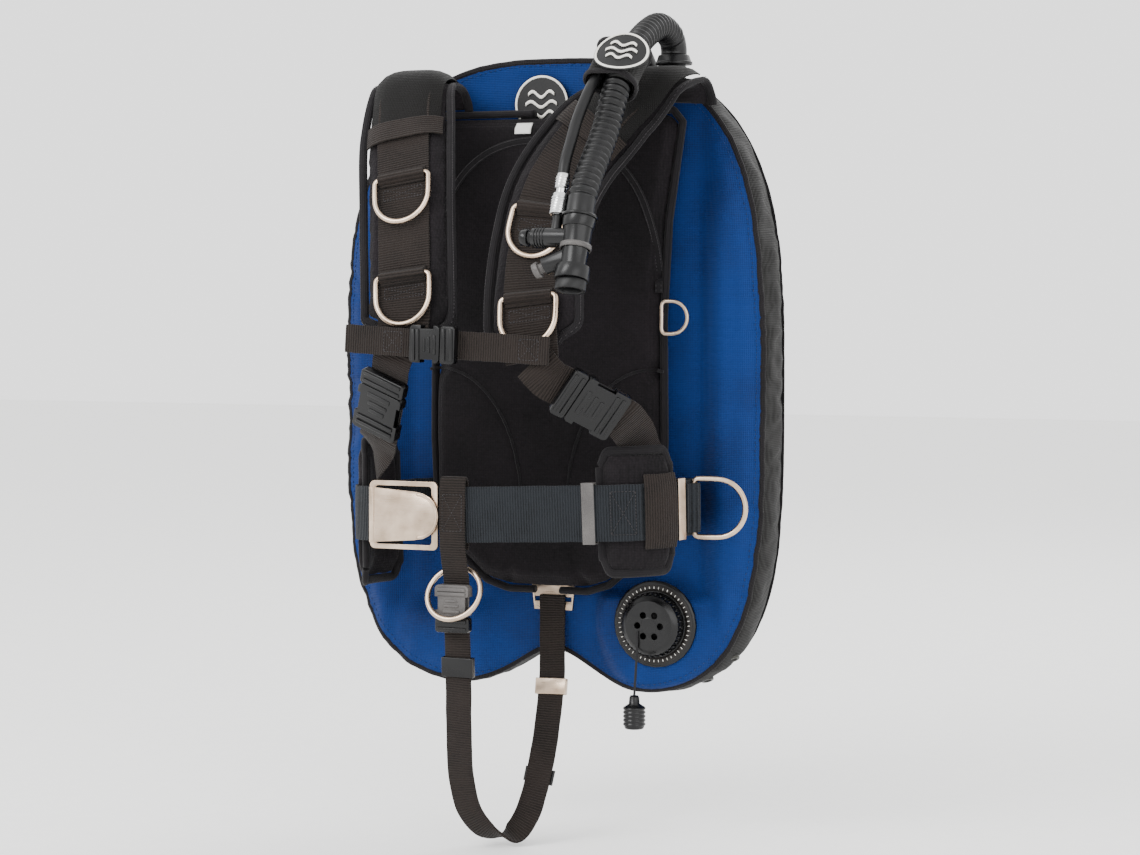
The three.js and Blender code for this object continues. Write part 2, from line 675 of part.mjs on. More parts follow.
// Band that a strap runs through: its channel starts at the strap's inner face and holds a stack of webbing.
function keeperBand(web, length, stack, wall) {
  const play = 2 * KEEPER_PLAY;
  const outside = box(web + 2 * wall + 2, length, stack + 2 * wall + play, 0, 0, (stack - WEB) / 2);
  const channel = box(web + 2, length + 2, stack + play, 0, 0, (stack - WEB) / 2);
  return cut(outside, channel);
}

function placeKeeper(name, curve, across, place, geometry, material) {
  const seat = onStrap(curve, across, place, 0);
  piece(seat, name, geometry, material);
  harness.add(seat);
}
placeKeeper(
  "belt_keeper",
  beltRoutes.left,
  beltAcross.left,
  0.592,
  keeperBand(WIDE_WEB, 12, 2 * WEB, 1.4),
  greyPlastic,
);
placeKeeper(
  "hip_ring_slide",
  beltRoutes.left,
  beltAcross.left,
  0.346,
  keeperBand(WIDE_WEB, 9, WEB, 1.6),
  steel,
);

// Hip ring: it stands out of the belt, with its bar under a webbing arch.
const HIP_RING_TILT = THREE.MathUtils.degToRad(-100);
const hipRingSeat = onStrap(beltRoutes.left, beltAcross.left, HIP_RING_PLACE, WEB / 2 + GAP + RING_WIRE / 2);
const hipRing = piece(hipRingSeat, "hip_ring", dRing(RING_WIDTH, RING_HEIGHT + 2, RING_WIRE), steel);
hipRing.rotation.x = HIP_RING_TILT;
harness.add(hipRingSeat);

// Small ring at the pad's left edge, its bar lying on the pad.
const SIDE_WIRE = 3.6;
const sideRing = piece(harness, "side_ring", dRing(33, 28, SIDE_WIRE), steel);
sideRing.position.set(117, padFront - GAP - SIDE_WIRE / 2, 23);
sideRing.quaternion.setFromRotationMatrix(new THREE.Matrix4().makeBasis(V(0, 0, 1), V(-1, 0, 0), V(0, -1, 0)));

// ---------------------------------------------------------------- crotch strap
const CROTCH_X = -50;
const tailFace = BELT_FRONT - WEB / 2 - (WEB - 0.1);
const BUCKLE_WEB_Y = -113; // webbing behind the crotch buckle
const crotchFrontRoute = route(
  [CROTCH_X, -113.2, -186],
  [CROTCH_X, -113.2, -132],
  [CROTCH_X, -114.2, -124],
  [CROTCH_X, -117.3, -120.5],
  [CROTCH_X, -120.4, -124],
  [CROTCH_X, tailFace - 1.8, -132],
  [CROTCH_X, tailFace - 1.8, -184],
  [CROTCH_X, BELT_FRONT, -204],
  [CROTCH_X, BUCKLE_WEB_Y, -216],
  [CROTCH_X, BUCKLE_WEB_Y, -233],
);
piece(
  harness,
  "crotch_strap_front",
  strap(crotchFrontRoute, LEFTWARD, { width: NARROW_WEB, steps: 46 }),
  webbing,
);
const crotchRearRoute = route(
  [CROTCH_X, BUCKLE_WEB_Y, -249],
  [-49, -112, -296],
  [-53, -102, -360],
  [-54, -95, -398],
  [-48, -88, -430],
  [-34, -78, -449],
  [-17, -67, -452],
  [-6, -58, -436],
  [2, -44, -394],
  [5, -24, -322],
  [1, -11.5, -266],
  [0, plateFront - GAP - WEB / 2, -250],
  [0, plateFront - GAP - WEB / 2, -236],
);
const crotchRear = strap(crotchRearRoute, LEFTWARD, { width: NARROW_WEB, steps: 46 });
piece(harness, "crotch_strap_rear", crotchRear, webbing);

const CROTCH_JOINT = -246;
const { socket: crotchSocket, clip: crotchClip } = releaseBuckle(NARROW_WEB);
const crotchBuckleSeat = new THREE.Group();
crotchBuckleSeat.position.set(CROTCH_X, BUCKLE_WEB_Y - buckleLift, CROTCH_JOINT);
crotchBuckleSeat.quaternion.setFromRotationMatrix(
  new THREE.Matrix4().makeBasis(V(-1, 0, 0), V(0, 0, -1), V(0, -1, 0)),
);
piece(crotchBuckleSeat, "crotch_buckle_socket", crotchSocket, greyPlastic);
piece(crotchBuckleSeat, "crotch_buckle_clip", crotchClip, plastic);
harness.add(crotchBuckleSeat);

placeKeeper(
  "crotch_slide_front",
  crotchRearRoute,
  LEFTWARD,
  0.095,
  keeperBand(NARROW_WEB, 18, WEB, 1.8),
  plastic,
);
placeKeeper(
  "crotch_slide_rear",
  crotchRearRoute,
  LEFTWARD,
  0.815,
  keeperBand(NARROW_WEB, 15, WEB, 1.6),
  steel,
);

const CROTCH_RING_RADIUS = 25.5;
const CROTCH_RING_TILT = 29; // behind the webbing at its top and in front of the buckle at its foot
const crotchRing = piece(harness, "crotch_ring", new THREE.TorusGeometry(CROTCH_RING_RADIUS, 2.5, 8, 24), steel);
const CROTCH_RING_FORWARD = 5.7; // of its centre, from the webbing
crotchRing.position.set(CROTCH_X, BUCKLE_WEB_Y - CROTCH_RING_FORWARD, -225);
crotchRing.rotation.x = THREE.MathUtils.degToRad(90 - CROTCH_RING_TILT);

// ---------------------------------------------------------------- inflator
// Elbow: its neck goes through the wing's edge band into the bladder.
const ELBOW_HEIGHT = 16; // above the wing's edge
const elbow = join(
  rod(overElbow(-14), overElbow(ELBOW_HEIGHT), ELBOW_NECK, ELBOW_NECK, 20),
  rod(overElbow(ELBOW_HEIGHT - 9), overElbow(ELBOW_HEIGHT - 6), 17, 17, 20),
  rod(overElbow(ELBOW_HEIGHT - 6), overElbow(ELBOW_HEIGHT), 16, 14, 20),
);
const elbowBore = rod(overElbow(-26), overElbow(ELBOW_HEIGHT + 18), 8);
piece(inflator, "hose_elbow", cut(elbow, elbowBore), rubber);

const hoseRoute = [
  overElbow(ELBOW_HEIGHT + GAP),
  overElbow(ELBOW_HEIGHT + 5),
  V(110.8, 8, elbowSeat + ELBOW_HEIGHT + 15),
  V(110, -20, 285),
  V(109.5, -50, 277),
  V(109, -80, 261),
  V(108, -104, 241),
  V(107, -125, 215),
  V(106, -142, 186),
  V(105.3, -162, 162),
  V(105, -178, 145),
  V(105, -189, 131),
  V(105, -195.4, 118.6),
  V(105, -197.9, 111.3),
];
piece(inflator, "corrugated_hose", tube(hoseRoute, HOSE_RADIUS, 12, 26), rubber);

// Inflator head in its own frame: the body hangs along -Z from the hose, tilted forward.
const head = new THREE.Group();
head.position.set(105, -198, 111);
head.rotation.x = THREE.MathUtils.degToRad(-19);
inflator.add(head);
const BODY_RADIUS = 11;
const BARREL_RADIUS = 8.5;
const BARREL_Z = -20;
const NIPPLE_X = -20;
const body = join(
  rod(V(0, 0, 0), V(0, 0, -12), 14.5, 13.5),
  rod(V(0, 0, -12), V(0, 0, -49), 12.5, BODY_RADIUS),
  rod(V(0, 0, -46), V(0, 0, -58), 14.5, 15),
  rod(V(0, 0, BARREL_Z), V(-40, 0, BARREL_Z), BARREL_RADIUS),
  rod(V(-2, 0, -34), V(-26, 0, -46), 7.5, 8),
  rod(V(NIPPLE_X, 0, BARREL_Z), V(NIPPLE_X, 0, 0), 4.5),
);
const barrelBore = rod(V(-30, 0, BARREL_Z), V(-41, 0, BARREL_Z), 5.5);
const armBore = rod(V(-17, 0, -41.5), V(-28, 0, -47), 5);
piece(head, "inflator_body", cut(body, barrelBore, armBore), plastic);
const inflateButton = join(
  rod(V(-34, 0, BARREL_Z), V(-48, 0, BARREL_Z), 5),
  rod(V(-44, 0, BARREL_Z), V(-51, 0, BARREL_Z), 8, 7),
);
piece(head, "inflate_button", inflateButton, plastic);
const armAxis = V(-24, 0, -12).normalize();
const alongArm = (start, distance) => V(start[0], 0, start[1]).addScaledVector(armAxis, distance);
const armStart = [-2, -34];
const deflateButton = join(
  rod(alongArm(armStart, 21), alongArm(armStart, 34), 4.5),
  rod(alongArm(armStart, 31.5), alongArm(armStart, 37), 7.5, 6.5),
);
piece(head, "deflate_button", deflateButton, greyPlastic);
const mouthOutline = new THREE.Shape().absellipse(0, 0, 13.5, 11.5, 0, Math.PI * 2);
mouthOutline.holes.push(new THREE.Path().absellipse(0, 0, 10.5, 8.5, 0, Math.PI * 2));
const mouthpiece = new THREE.ExtrudeGeometry(mouthOutline, { depth: 9, bevelEnabled: false, curveSegments: 10 });
piece(head, "mouthpiece", mouthpiece.translate(0, 0, -58 - GAP - 9), rubber);

// Quick coupling on the nipple, and the low-pressure hose that it ends.
const sleeve = cut(
  rod(V(NIPPLE_X, 0, 0.5), V(NIPPLE_X, 0, 19), 7.6, 7.2, 20),
  rod(V(NIPPLE_X, 0, -1), V(NIPPLE_X, 0, 20), 4.8),
);
piece(head, "lp_coupling_sleeve", sleeve, chrome);
const FERRULE_END = 37;
const ferrule = join(
  rod(V(NIPPLE_X, 0, 0.4), V(NIPPLE_X, 0, 24), 4.5),
  rod(V(NIPPLE_X, 0, 24), V(NIPPLE_X, 0, FERRULE_END), 5.8),
);
piece(head, "lp_hose_ferrule", ferrule, chrome);
head.updateMatrix();
const hoseStart = V(NIPPLE_X, 0, FERRULE_END + GAP).applyMatrix4(head.matrix);
const lpRoute = [
  hoseStart,
  hoseStart.clone().add(V(0, 3.3, 9.5)),
  V(85, -170, 174),
  V(86, -157, 195),
  V(89, -138, 220),
  V(91, -114, 241),
  V(90, -93, 256),
  V(84, -62, 268),
  V(79, -25, 274),
  V(77, 10, 274),
  V(76, 40, 264),
  V(75.5, 66, 236),
  V(75, 80, 195),
  V(75, 86, 150),
  V(75, 88, 100),
  V(75, 88, 40),
  V(75, 88, -20),
];
piece(inflator, "lp_hose", tube(lpRoute, LP_HOSE_RADIUS, 8, 36), rubber);
const FITTING_TOP = -20 - GAP;
const lpFitting = join(
  rod(V(75, 88, FITTING_TOP), V(75, 88, FITTING_TOP - 16), 6.2, 6.2, 12),
  rod(V(75, 88, FITTING_TOP - 16), V(75, 88, FITTING_TOP - 24), 8, 8, 6),
  rod(V(75, 88, FITTING_TOP - 24), V(75, 88, FITTING_TOP - 33), 4.7, 4.7, 12),
);
piece(inflator, "lp_hose_fitting", lpFitting, chrome);

// Wrap that ties both hoses together over the shoulder.
const WRAP_LENGTH = 30;
const wrapCentre = V(108, -104, 241);
const wrapAlong = V(-1, -45, -43).normalize();
const wrapToHose = V(-17, -8, 1);
wrapToHose.addScaledVector(wrapAlong, -wrapToHose.dot(wrapAlong));
const hoseSpacing = wrapToHose.length();
const wrapSide = wrapToHose.clone().normalize().negate();
function aroundHoses(bigRadius, smallRadius) {
  const tangent = Math.acos(-(bigRadius - smallRadius) / hoseSpacing);
  const shape = new THREE.Shape();
  shape.absarc(0, 0, bigRadius, -tangent, tangent, false);
  shape.absarc(-hoseSpacing, 0, smallRadius, tangent, Math.PI * 2 - tangent, false);
  return shape;
}
const wrapOutline = aroundHoses(HOSE_RADIUS + 3.6, LP_HOSE_RADIUS + 5);
wrapOutline.holes.push(new THREE.Path(aroundHoses(HOSE_RADIUS + 1.5, LP_HOSE_RADIUS + 2.8).getPoints(8)));
const wrap = piece(
  inflator,
  "hose_wrap",
  new THREE.ExtrudeGeometry(wrapOutline, { depth: WRAP_LENGTH, bevelEnabled: false, curveSegments: 8 }).translate(
    0,
    0,
    -WRAP_LENGTH / 2,
  ),
  blackFabric,
);
wrap.position.copy(wrapCentre);
wrap.quaternion.setFromRotationMatrix(
  new THREE.Matrix4().makeBasis(wrapSide, wrapAlong.clone().cross(wrapSide), wrapAlong),
);

// ---------------------------------------------------------------- dump valve
// In the valve's own frame +Z points out of the wing.
const valve = new THREE.Group();
valve.position.set(valveCentre.x, VALVE_SEAT - GAP, valveCentre.z);
valve.rotation.x = Math.PI / 2;
wingGroup.add(valve);
const CAP_RADIUS = 27.5;
const CAP_TOP = 19;
const valveOutside = turned([
  [0, -12],
  [VALVE_NECK, -12],
  [VALVE_NECK, 0],
  [VALVE_RADIUS, 0],
  [VALVE_RADIUS, 2.5],
  [VALVE_RADIUS - 2, 4],
  [CAP_RADIUS + 2, 4],
  [CAP_RADIUS, 15],
  [CAP_RADIUS - 5, CAP_TOP],
  [0, CAP_TOP],
]);
const valveInside = turned([
  [0, -14],
  [VALVE_NECK - 3, -14],
  [VALVE_NECK - 3, 15],
  [0, 15],
]);
const ventTools = [0, 1, 2, 3, 4, 5].map((i) => {
  const angle = (i / 6) * Math.PI * 2;
  return rod(V(11 * Math.cos(angle), 11 * Math.sin(angle), 10), V(11 * Math.cos(angle), 11 * Math.sin(angle), 25), 3, 3, 10);
});
piece(valve, "valve_body", cut(valveOutside, valveInside, ...ventTools), plastic);
const poppet = turned([
  [0, -8],
  [3, -8],
  [3, 3],
  [VALVE_NECK - 4, 3],
  [VALVE_NECK - 4, 6],
  [3, 6],
  [3, 9],
  [0, 9],
]);
piece(valve, "valve_poppet", poppet, rubber);

const CORD_RADIUS = 1.1;
const capFace = VALVE_SEAT - GAP - CAP_TOP;
const cordRoute = [
  V(96, capFace - CORD_RADIUS - 0.5, -262),
  V(95.7, capFace - CORD_RADIUS - 0.6, -275),
  V(95, capFace - CORD_RADIUS - 1.4, -295),
  V(94, capFace - CORD_RADIUS - 3, -320),
];
piece(wingGroup, "pull_cord", tube(cordRoute, CORD_RADIUS, 8, 10), rubber);
const knob = turned(
  [
    [0, 0],
    [4, 0],
    [5, -8],
    [10.5, -22],
    [10.5, -28],
    [8.5, -31],
    [0, -31],
  ].reverse(),
  12,
);
const knobMesh = piece(wingGroup, "pull_knob", knob, plastic);
knobMesh.position.copy(cordRoute.at(-1)).add(V(0, 0, -GAP));

export default vest;
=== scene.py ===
import math

import bmesh
import bpy
from mathutils import Matrix, Vector, noise
from mathutils.bvhtree import BVHTree


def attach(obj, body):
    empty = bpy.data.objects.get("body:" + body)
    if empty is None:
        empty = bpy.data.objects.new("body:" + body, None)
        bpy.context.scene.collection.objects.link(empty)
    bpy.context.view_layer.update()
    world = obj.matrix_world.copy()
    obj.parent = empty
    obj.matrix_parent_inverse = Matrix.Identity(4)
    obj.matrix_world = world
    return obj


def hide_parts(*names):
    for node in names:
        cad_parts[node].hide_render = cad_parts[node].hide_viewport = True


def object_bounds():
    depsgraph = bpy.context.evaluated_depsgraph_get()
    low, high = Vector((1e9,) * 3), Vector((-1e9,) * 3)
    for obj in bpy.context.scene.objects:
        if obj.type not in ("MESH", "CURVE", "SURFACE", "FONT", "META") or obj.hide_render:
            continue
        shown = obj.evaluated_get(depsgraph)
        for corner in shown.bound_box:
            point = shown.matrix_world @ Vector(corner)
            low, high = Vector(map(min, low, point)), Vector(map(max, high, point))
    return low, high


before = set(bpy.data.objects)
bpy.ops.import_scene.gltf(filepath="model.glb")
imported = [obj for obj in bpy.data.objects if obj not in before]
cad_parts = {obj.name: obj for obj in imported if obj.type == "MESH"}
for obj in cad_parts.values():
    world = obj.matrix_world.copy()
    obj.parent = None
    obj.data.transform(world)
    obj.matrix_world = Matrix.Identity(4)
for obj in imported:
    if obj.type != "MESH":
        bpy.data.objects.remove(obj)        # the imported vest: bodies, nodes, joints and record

cad_low, cad_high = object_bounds()

# ---- Camera and light -----------------------------------------------------------------------
# The vest is seen from its wearer's front left, almost level, under soft studio light, and it
# stands on a plain pale floor.
view_turn = math.radians(22.5)
view_rise = math.radians(3)
view_target = Vector((0.014, 0, -0.080))
view_distance = 2.5
level = math.cos(view_rise)
view_back = Vector((math.sin(view_turn) * level, -math.cos(view_turn) * level, math.sin(view_rise)))
camera = bpy.data.objects.new("camera", bpy.data.cameras.new("camera"))
camera.data.lens = 84.9
camera.data.sensor_width = 36
camera.location = view_target + view_distance * view_back
camera.rotation_euler = (-view_back).to_track_quat("-Z", "Y").to_euler()
bpy.context.collection.objects.link(camera)
bpy.context.scene.camera = camera


def linear(hex_colour):
    """Linear colour of an sRGB hex value."""
    channels = [int(hex_colour[i : i + 2], 16) / 255 for i in (1, 3, 5)]
    return [c / 12.92 if c <= 0.04045 else ((c + 0.055) / 1.055) ** 2.4 for c in channels] + [1.0]


def add(tree, kind, settings=None, links=None):
    """Adds a node to a material, with its settings and what its sockets are linked to."""
    node = tree.nodes.new("ShaderNode" + kind)
    for key, value in (settings or {}).items():
        if isinstance(key, int) or key in node.inputs:
            node.inputs[key].default_value = value
        else:
            setattr(node, key, value)
    for key, source in (links or {}).items():
        tree.links.new(source, node.inputs[key])
    return node


def softbox(name, place, size, power):
    """Square studio light at a place, turned to the vest."""
    lamp = bpy.data.objects.new(name, bpy.data.lights.new(name, "AREA"))
    lamp.data.size = size
    lamp.data.energy = power
    lamp.location = place
    lamp.rotation_euler = (view_target - Vector(place)).to_track_quat("-Z", "Y").to_euler()
    bpy.context.collection.objects.link(lamp)


softbox("key_light", (-1.3, -2.2, 1.6), 1.4, 64)
softbox("fill_light", (2.2, -1.7, 0.7), 1.8, 26)
softbox("back_light", (0.8, 2.2, 1.7), 1.6, 30)
world = bpy.data.worlds.new("studio")
bpy.context.scene.world = world
world.use_nodes = True
world.node_tree.nodes["Background"].inputs["Color"].default_value = linear("#ffffff")
world.node_tree.nodes["Background"].inputs["Strength"].default_value = 2.0


def material_of(name, roughness, metallic=0.0, **sockets):
    """New material with one shader; returns it, its tree, the shader and a coordinate node."""
    material = bpy.data.materials.new(name)
    material.use_nodes = True
    tree = material.node_tree
    tree.nodes.clear()
    shader = add(tree, "BsdfPrincipled", {"Roughness": roughness, "Metallic": metallic})
    for socket, value in sockets.items():
        shader.inputs[socket.replace("_", " ")].default_value = value
    add(tree, "OutputMaterial", links={"Surface": shader.outputs["BSDF"]})
    return material, tree, shader, add(tree, "TexCoord")


weighed = {"operation": "MULTIPLY_ADD"}  # Math node: socket 0, times the weight in 1, plus socket 2


def finish_material(tree, shader, shade, dark, light, gloss, bump):
    """Colours a shader by shade, between two (place, colour) pairs; links its roughness and bump."""
    ramp = add(tree, "ValToRGB", links={"Fac": shade})
    for element, (place, colour) in zip(ramp.color_ramp.elements, (dark, light)):
        element.position = place
        element.color = linear(colour)
    tree.links.new(ramp.outputs["Color"], shader.inputs["Base Color"])
    tree.links.new(gloss.outputs["Result"], shader.inputs["Roughness"])
    tree.links.new(bump.outputs["Normal"], shader.inputs["Normal"])


# Painted board of the studio: matt, almost white, with a faint roller texture.
painted_board, tree, shader, coords = material_of("matt_painted_board", 0.8)
roller = add(tree, "TexNoise", {"Scale": 60.0, "Detail": 3.0}, {"Vector": coords.outputs["Object"]})
ramp = add(tree, "ValToRGB", links={"Fac": roller.outputs["Fac"]})
ramp.color_ramp.elements[0].color = linear("#f1f1f0")
ramp.color_ramp.elements[1].color = linear("#f6f6f5")
tree.links.new(ramp.outputs["Color"], shader.inputs["Base Color"])
floor_mesh = bpy.data.meshes.new("floor")
shape = bmesh.new()
bmesh.ops.create_grid(shape, x_segments=2, y_segments=2, size=8)
bmesh.ops.translate(shape, verts=shape.verts, vec=(0, 0, cad_low.z - 0.004))
shape.to_mesh(floor_mesh)
shape.free()
floor = bpy.data.objects.new("floor", floor_mesh)
floor_mesh.materials.append(painted_board)
bpy.context.collection.objects.link(floor)


# ---- Hoses and the valve's cord -----------------------------------------------------------
# The corrugated hose and the low-pressure hose are moulded black rubber. The first goes from the
# elbow on the wing over the left shoulder to the inflator, and the second back to the regulator.
def mm(*values):
    """Place given in millimetres."""
    return Vector(values) / 1000


def route(*points):
    """Smooth line through points given in millimetres: returns at(u), a place and a direction."""
    knots = [mm(*p) for p in points]
    knots = [2 * knots[0] - knots[1]] + knots + [2 * knots[-1] - knots[-2]]
    places, ways, reach = [], [], [0.0]
    steps = 24
    for a, b, c, d in zip(knots, knots[1:], knots[2:], knots[3:]):
        before, here, after = ((q - p).length ** 0.5 for p, q in ((a, b), (b, c), (c, d)))
        leave = ((b - a) / before - (c - a) / (before + here) + (c - b) / here) * here
        arrive = ((c - b) / here - (d - b) / (here + after) + (d - c) / after) * here
        bend = -3 * b + 3 * c - 2 * leave - arrive
        twist = 2 * b - 2 * c + leave + arrive
        for i in range(steps + 1):
            t = i / steps
            place = b + leave * t + bend * t**2 + twist * t**3
            if places:
                step = (place - places[-1]).length
                if step < 1e-9:
                    continue
                reach.append(reach[-1] + step)
            places.append(place)
            ways.append((leave + 2 * bend * t + 3 * twist * t**2).normalized())

    def at(u):
        goal = min(max(u, 0), 1) * reach[-1]
        low, high = 0, len(reach) - 1
        while high - low > 1:
            middle = (low + high) // 2
            low, high = (middle, high) if reach[middle] <= goal else (low, middle)
        share = (goal - reach[low]) / (reach[high] - reach[low])
        return places[low].lerp(places[high], share), ways[low].lerp(ways[high], share).normalized()

    at.length = reach[-1]
    return at


def laid(columns, rows, place, size=(1, 1), close=False, cap=False):
    """Grid whose corners are moved to place(u, v), u and v from 0 to 1; its UV is size in metres."""
    made = bmesh.new()
    layer = made.loops.layers.uv.new("laid")
    bmesh.ops.create_grid(made, x_segments=columns, y_segments=rows, size=0.5)
    for face in made.faces:
        for loop in face.loops:
            corner = loop.vert.co
            loop[layer].uv = ((corner.x + 0.5) * size[0], (corner.y + 0.5) * size[1])
    for vertex in made.verts:
        vertex.co = place(vertex.co.x + 0.5, vertex.co.y + 0.5)
    if close:
        bmesh.ops.remove_doubles(made, verts=made.verts, dist=2e-6)
    if cap:
        bmesh.ops.holes_fill(made, edges=[e for e in made.edges if e.is_boundary], sides=0)
    bmesh.ops.recalc_face_normals(made, faces=made.faces)
    return made


def piece(name, made, material, body, slot, *nodes, wall=0, rounding=0):
    """Finished object from a bmesh: it rides on a body and stands for the named CAD nodes."""
    mesh = bpy.data.meshes.new(name)
    made.to_mesh(mesh)
    made.free()
    mesh.materials.append(material)
    mesh.shade_smooth()
    made_piece = bpy.data.objects.new(name, mesh)
    bpy.context.collection.objects.link(made_piece)
    if wall:
        thick = made_piece.modifiers.new("wall", "SOLIDIFY")
        thick.thickness = wall
        thick.offset = 0
    if rounding:
        edge = made_piece.modifiers.new("rounding", "BEVEL")
        edge.width = rounding
        edge.segments = 2
        edge.limit_method = "ANGLE"
        edge.angle_limit = math.radians(34)
        edge.harden_normals = True
    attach(made_piece, body)
    if nodes:
        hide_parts(*nodes)
    return made_piece


def ringed(at, u, upright=Vector((1, 0, 0))):
    """Two directions across a line at u, for a round section."""
    place, way = at(u)
    side = (upright - way * upright.dot(way)).normalized()
    return place, side, way.cross(side)


def tube(at, radius, sides, steps, upright=Vector((1, 0, 0))):
    """Round closed tube along a line; its radius is a number or a function of u."""

    def place(u, v):
        centre, side, other = ringed(at, v, upright)
        size = radius(v) if callable(radius) else radius
        return centre + size * (side * math.cos(u * math.tau) + other * math.sin(u * math.tau))

    return laid(sides, steps, place, (0.078, at.length), close=True, cap=True)


# EPDM rubber, moulded: nearly black with a soft sheen and a fine dusting that greys its crests.
def moulded(name, dark, light, roughness, grain, depth):
    material, tree, shader, coords = material_of(name, roughness, IOR=1.5, Specular_IOR_Level=0.30)
    fine = add(tree, "TexNoise", {"Scale": grain, "Detail": 4.0}, {"Vector": coords.outputs["Object"]})
    broad = add(tree, "TexNoise", {"Scale": 34.0, "Detail": 5.0}, {"Vector": coords.outputs["Object"]})
    blend = add(tree, "Math", {"operation": "MULTIPLY"}, {0: fine.outputs["Fac"], 1: broad.outputs["Fac"]})
    wear = add(
        tree,
        "MapRange",
        {"From Min": 0.3, "From Max": 0.7, "To Min": roughness - 0.07, "To Max": roughness + 0.1},
        {"Value": broad.outputs["Fac"]},
    )
    bump = add(tree, "Bump", {"Strength": 0.35, "Distance": depth}, {"Height": fine.outputs["Fac"]})
    finish_material(tree, shader, blend.outputs[0], (0.12, dark), (0.42, light), wear, bump)
    return material


hose_rubber = moulded("moulded_epdm_rubber", "#050506", "#0f0f10", 0.40, 900.0, 0.0003)

hose_radius = 0.0125
rib_pitch = 0.0066
hose_route = route(
    (111, 14, 262.4), (111, 14, 267), (110.8, 8, 277), (110, -20, 285), (109.5, -50, 277),
    (109, -80, 261), (108, -104, 241), (107, -125, 215), (106, -142, 186), (105.3, -162, 162),
    (105, -178, 145), (105, -189, 131), (105, -195.4, 118.6), (105, -197.9, 111.3),
)


def ribbed(u):
    """Radius of the corrugated hose: rounded ribs, and plain cuffs at both ends."""
    distance = u * hose_route.length
    from_end = min(distance, hose_route.length - distance)
    if from_end < 0.014:
        return hose_radius - 0.0006
    wave = 0.5 + 0.5 * math.cos(math.tau * distance / rib_pitch)
    return hose_radius - 0.0024 + 0.0024 * wave**0.7


rib_steps = 12 * round(hose_route.length / rib_pitch)
corrugated_hose = piece(
    "corrugated_hose_tube", tube(hose_route, ribbed, 28, rib_steps), hose_rubber, "vest", "rubber",
    "corrugated_hose",
)
hose_path = [list(hose_route(i / 120)[0]) for i in range(121)]
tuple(hose_path[0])


def drawn_curve(name, at, radius, steps, material, body, node):
    """Plain round cord or hose as one open spline."""
    data = bpy.data.curves.new(name, "CURVE")
    data.dimensions = "3D"
    spline = data.splines.new("POLY")
    spline.points.add(steps)
    for i, point in enumerate(spline.points):
        point.co = (*at(i / steps)[0], 1)
    data.bevel_depth = radius
    data.bevel_resolution = 5
    data.use_fill_caps = True
    data.materials.append(material)
    spline.use_smooth = True
    drawn = bpy.data.objects.new(name, data)
    bpy.context.collection.objects.link(drawn)
    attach(drawn, body)
    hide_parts(node)
    return drawn


lp_route = route(
    (85, -185.9, 146.3), (85, -182.6, 155.8), (85, -170, 174), (86, -157, 195), (89, -138, 220),
    (91, -114, 241), (90, -93, 256), (84, -62, 268), (79, -25, 274), (77, 10, 274), (76, 40, 264),
    (75.5, 66, 236), (75, 80, 195), (75, 86, 150), (75, 88, 100), (75, 88, 40), (75, 88, -20),
)
lp_hose = drawn_curve("lp_hose_line", lp_route, 0.005, 150, hose_rubber, "vest", "lp_hose")

# Turned and chromed brass: bright, with slight waviness from polishing.
polished_chrome, tree, shader, coords = material_of("chromed_brass", 0.14, 1.0)
waviness = add(tree, "TexNoise", {"Scale": 180.0, "Detail": 2.0}, {"Vector": coords.outputs["Object"]})
rub = add(tree, "MapRange", {"To Min": 0.1, "To Max": 0.3}, {"Value": waviness.outputs["Fac"]})
bump = add(tree, "Bump", {"Strength": 0.1, "Distance": 0.0002}, {"Height": waviness.outputs["Fac"]})
finish_material(tree, shader, waviness.outputs["Fac"], (0, "#b9babd"), (1, "#e6e6e4"), rub, bump)


def from_cad(node):
    """Clean copy of a CAD node's mesh, its flat faces whole again."""
    made = bmesh.new()
    made.from_mesh(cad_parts[node].data)
    bmesh.ops.remove_doubles(made, verts=made.verts, dist=2e-5)
    bmesh.ops.dissolve_limit(
        made, angle_limit=math.radians(1.5), verts=made.verts, edges=made.edges, use_dissolve_boundaries=False
    )
    return made


def copied(name, node, material, body, slot, rounding):
    """Piece in the shape of a CAD node, its edges rounded."""
    return piece(name, from_cad(node), material, body, slot, node, rounding=rounding)


lp_fitting = copied("lp_hose_fitting_turned", "lp_hose_fitting", polished_chrome, "vest", "chrome", 0.0007)
list(lp_route(0)[0])

# The dump valve's cord is braided nylon, with a moulded knob to hold.
cord_route = route((96, -37.9, -262), (95.7, -38, -275), (95, -38.8, -295), (94, -40.4, -320))
braided_nylon = moulded("braided_nylon_cord", "#0a0a0b", "#1d1c1e", 0.75, 1400.0, 0.0004)
pull_cord = drawn_curve(
    "pull_cord_line", cord_route, 0.0011, 24, braided_nylon, "pull", "pull_cord"
)

# ---- Wing: shell of the air cell ------------------------------------------------------------
# A ring-shaped bag sewn from coated nylon: blue in front, black behind and round its edge. The air
# inside bulges it beside the pad, and the curved seams pucker the cloth.
outer_half, outer_top, outer_bottom = 0.211, 0.291, 0.300
hole_half, hole_top, hole_bottom = 0.058, 0.195, 0.165
wing_middle = -0.030
valve_x, valve_z, valve_ground = 0.106, -0.257, -0.017
seam_place = 0.97


def smoothstep(value, low, high):
    """Eases from 0 at low to 1 at high."""
    t = min(max((value - low) / (high - low), 0), 1)
    return t * t * (3 - 2 * t)


def oval(angle, half, top, bottom, top_power, bottom_power):
    """Radius of a squarish oval, whose upper and lower halves differ."""
    across, rise = abs(math.cos(angle)), math.sin(angle)
    power, height = (top_power, top) if rise > 0 else (bottom_power, bottom)
    return ((across / half) ** power + (abs(rise) / height) ** power) ** (-1 / power)


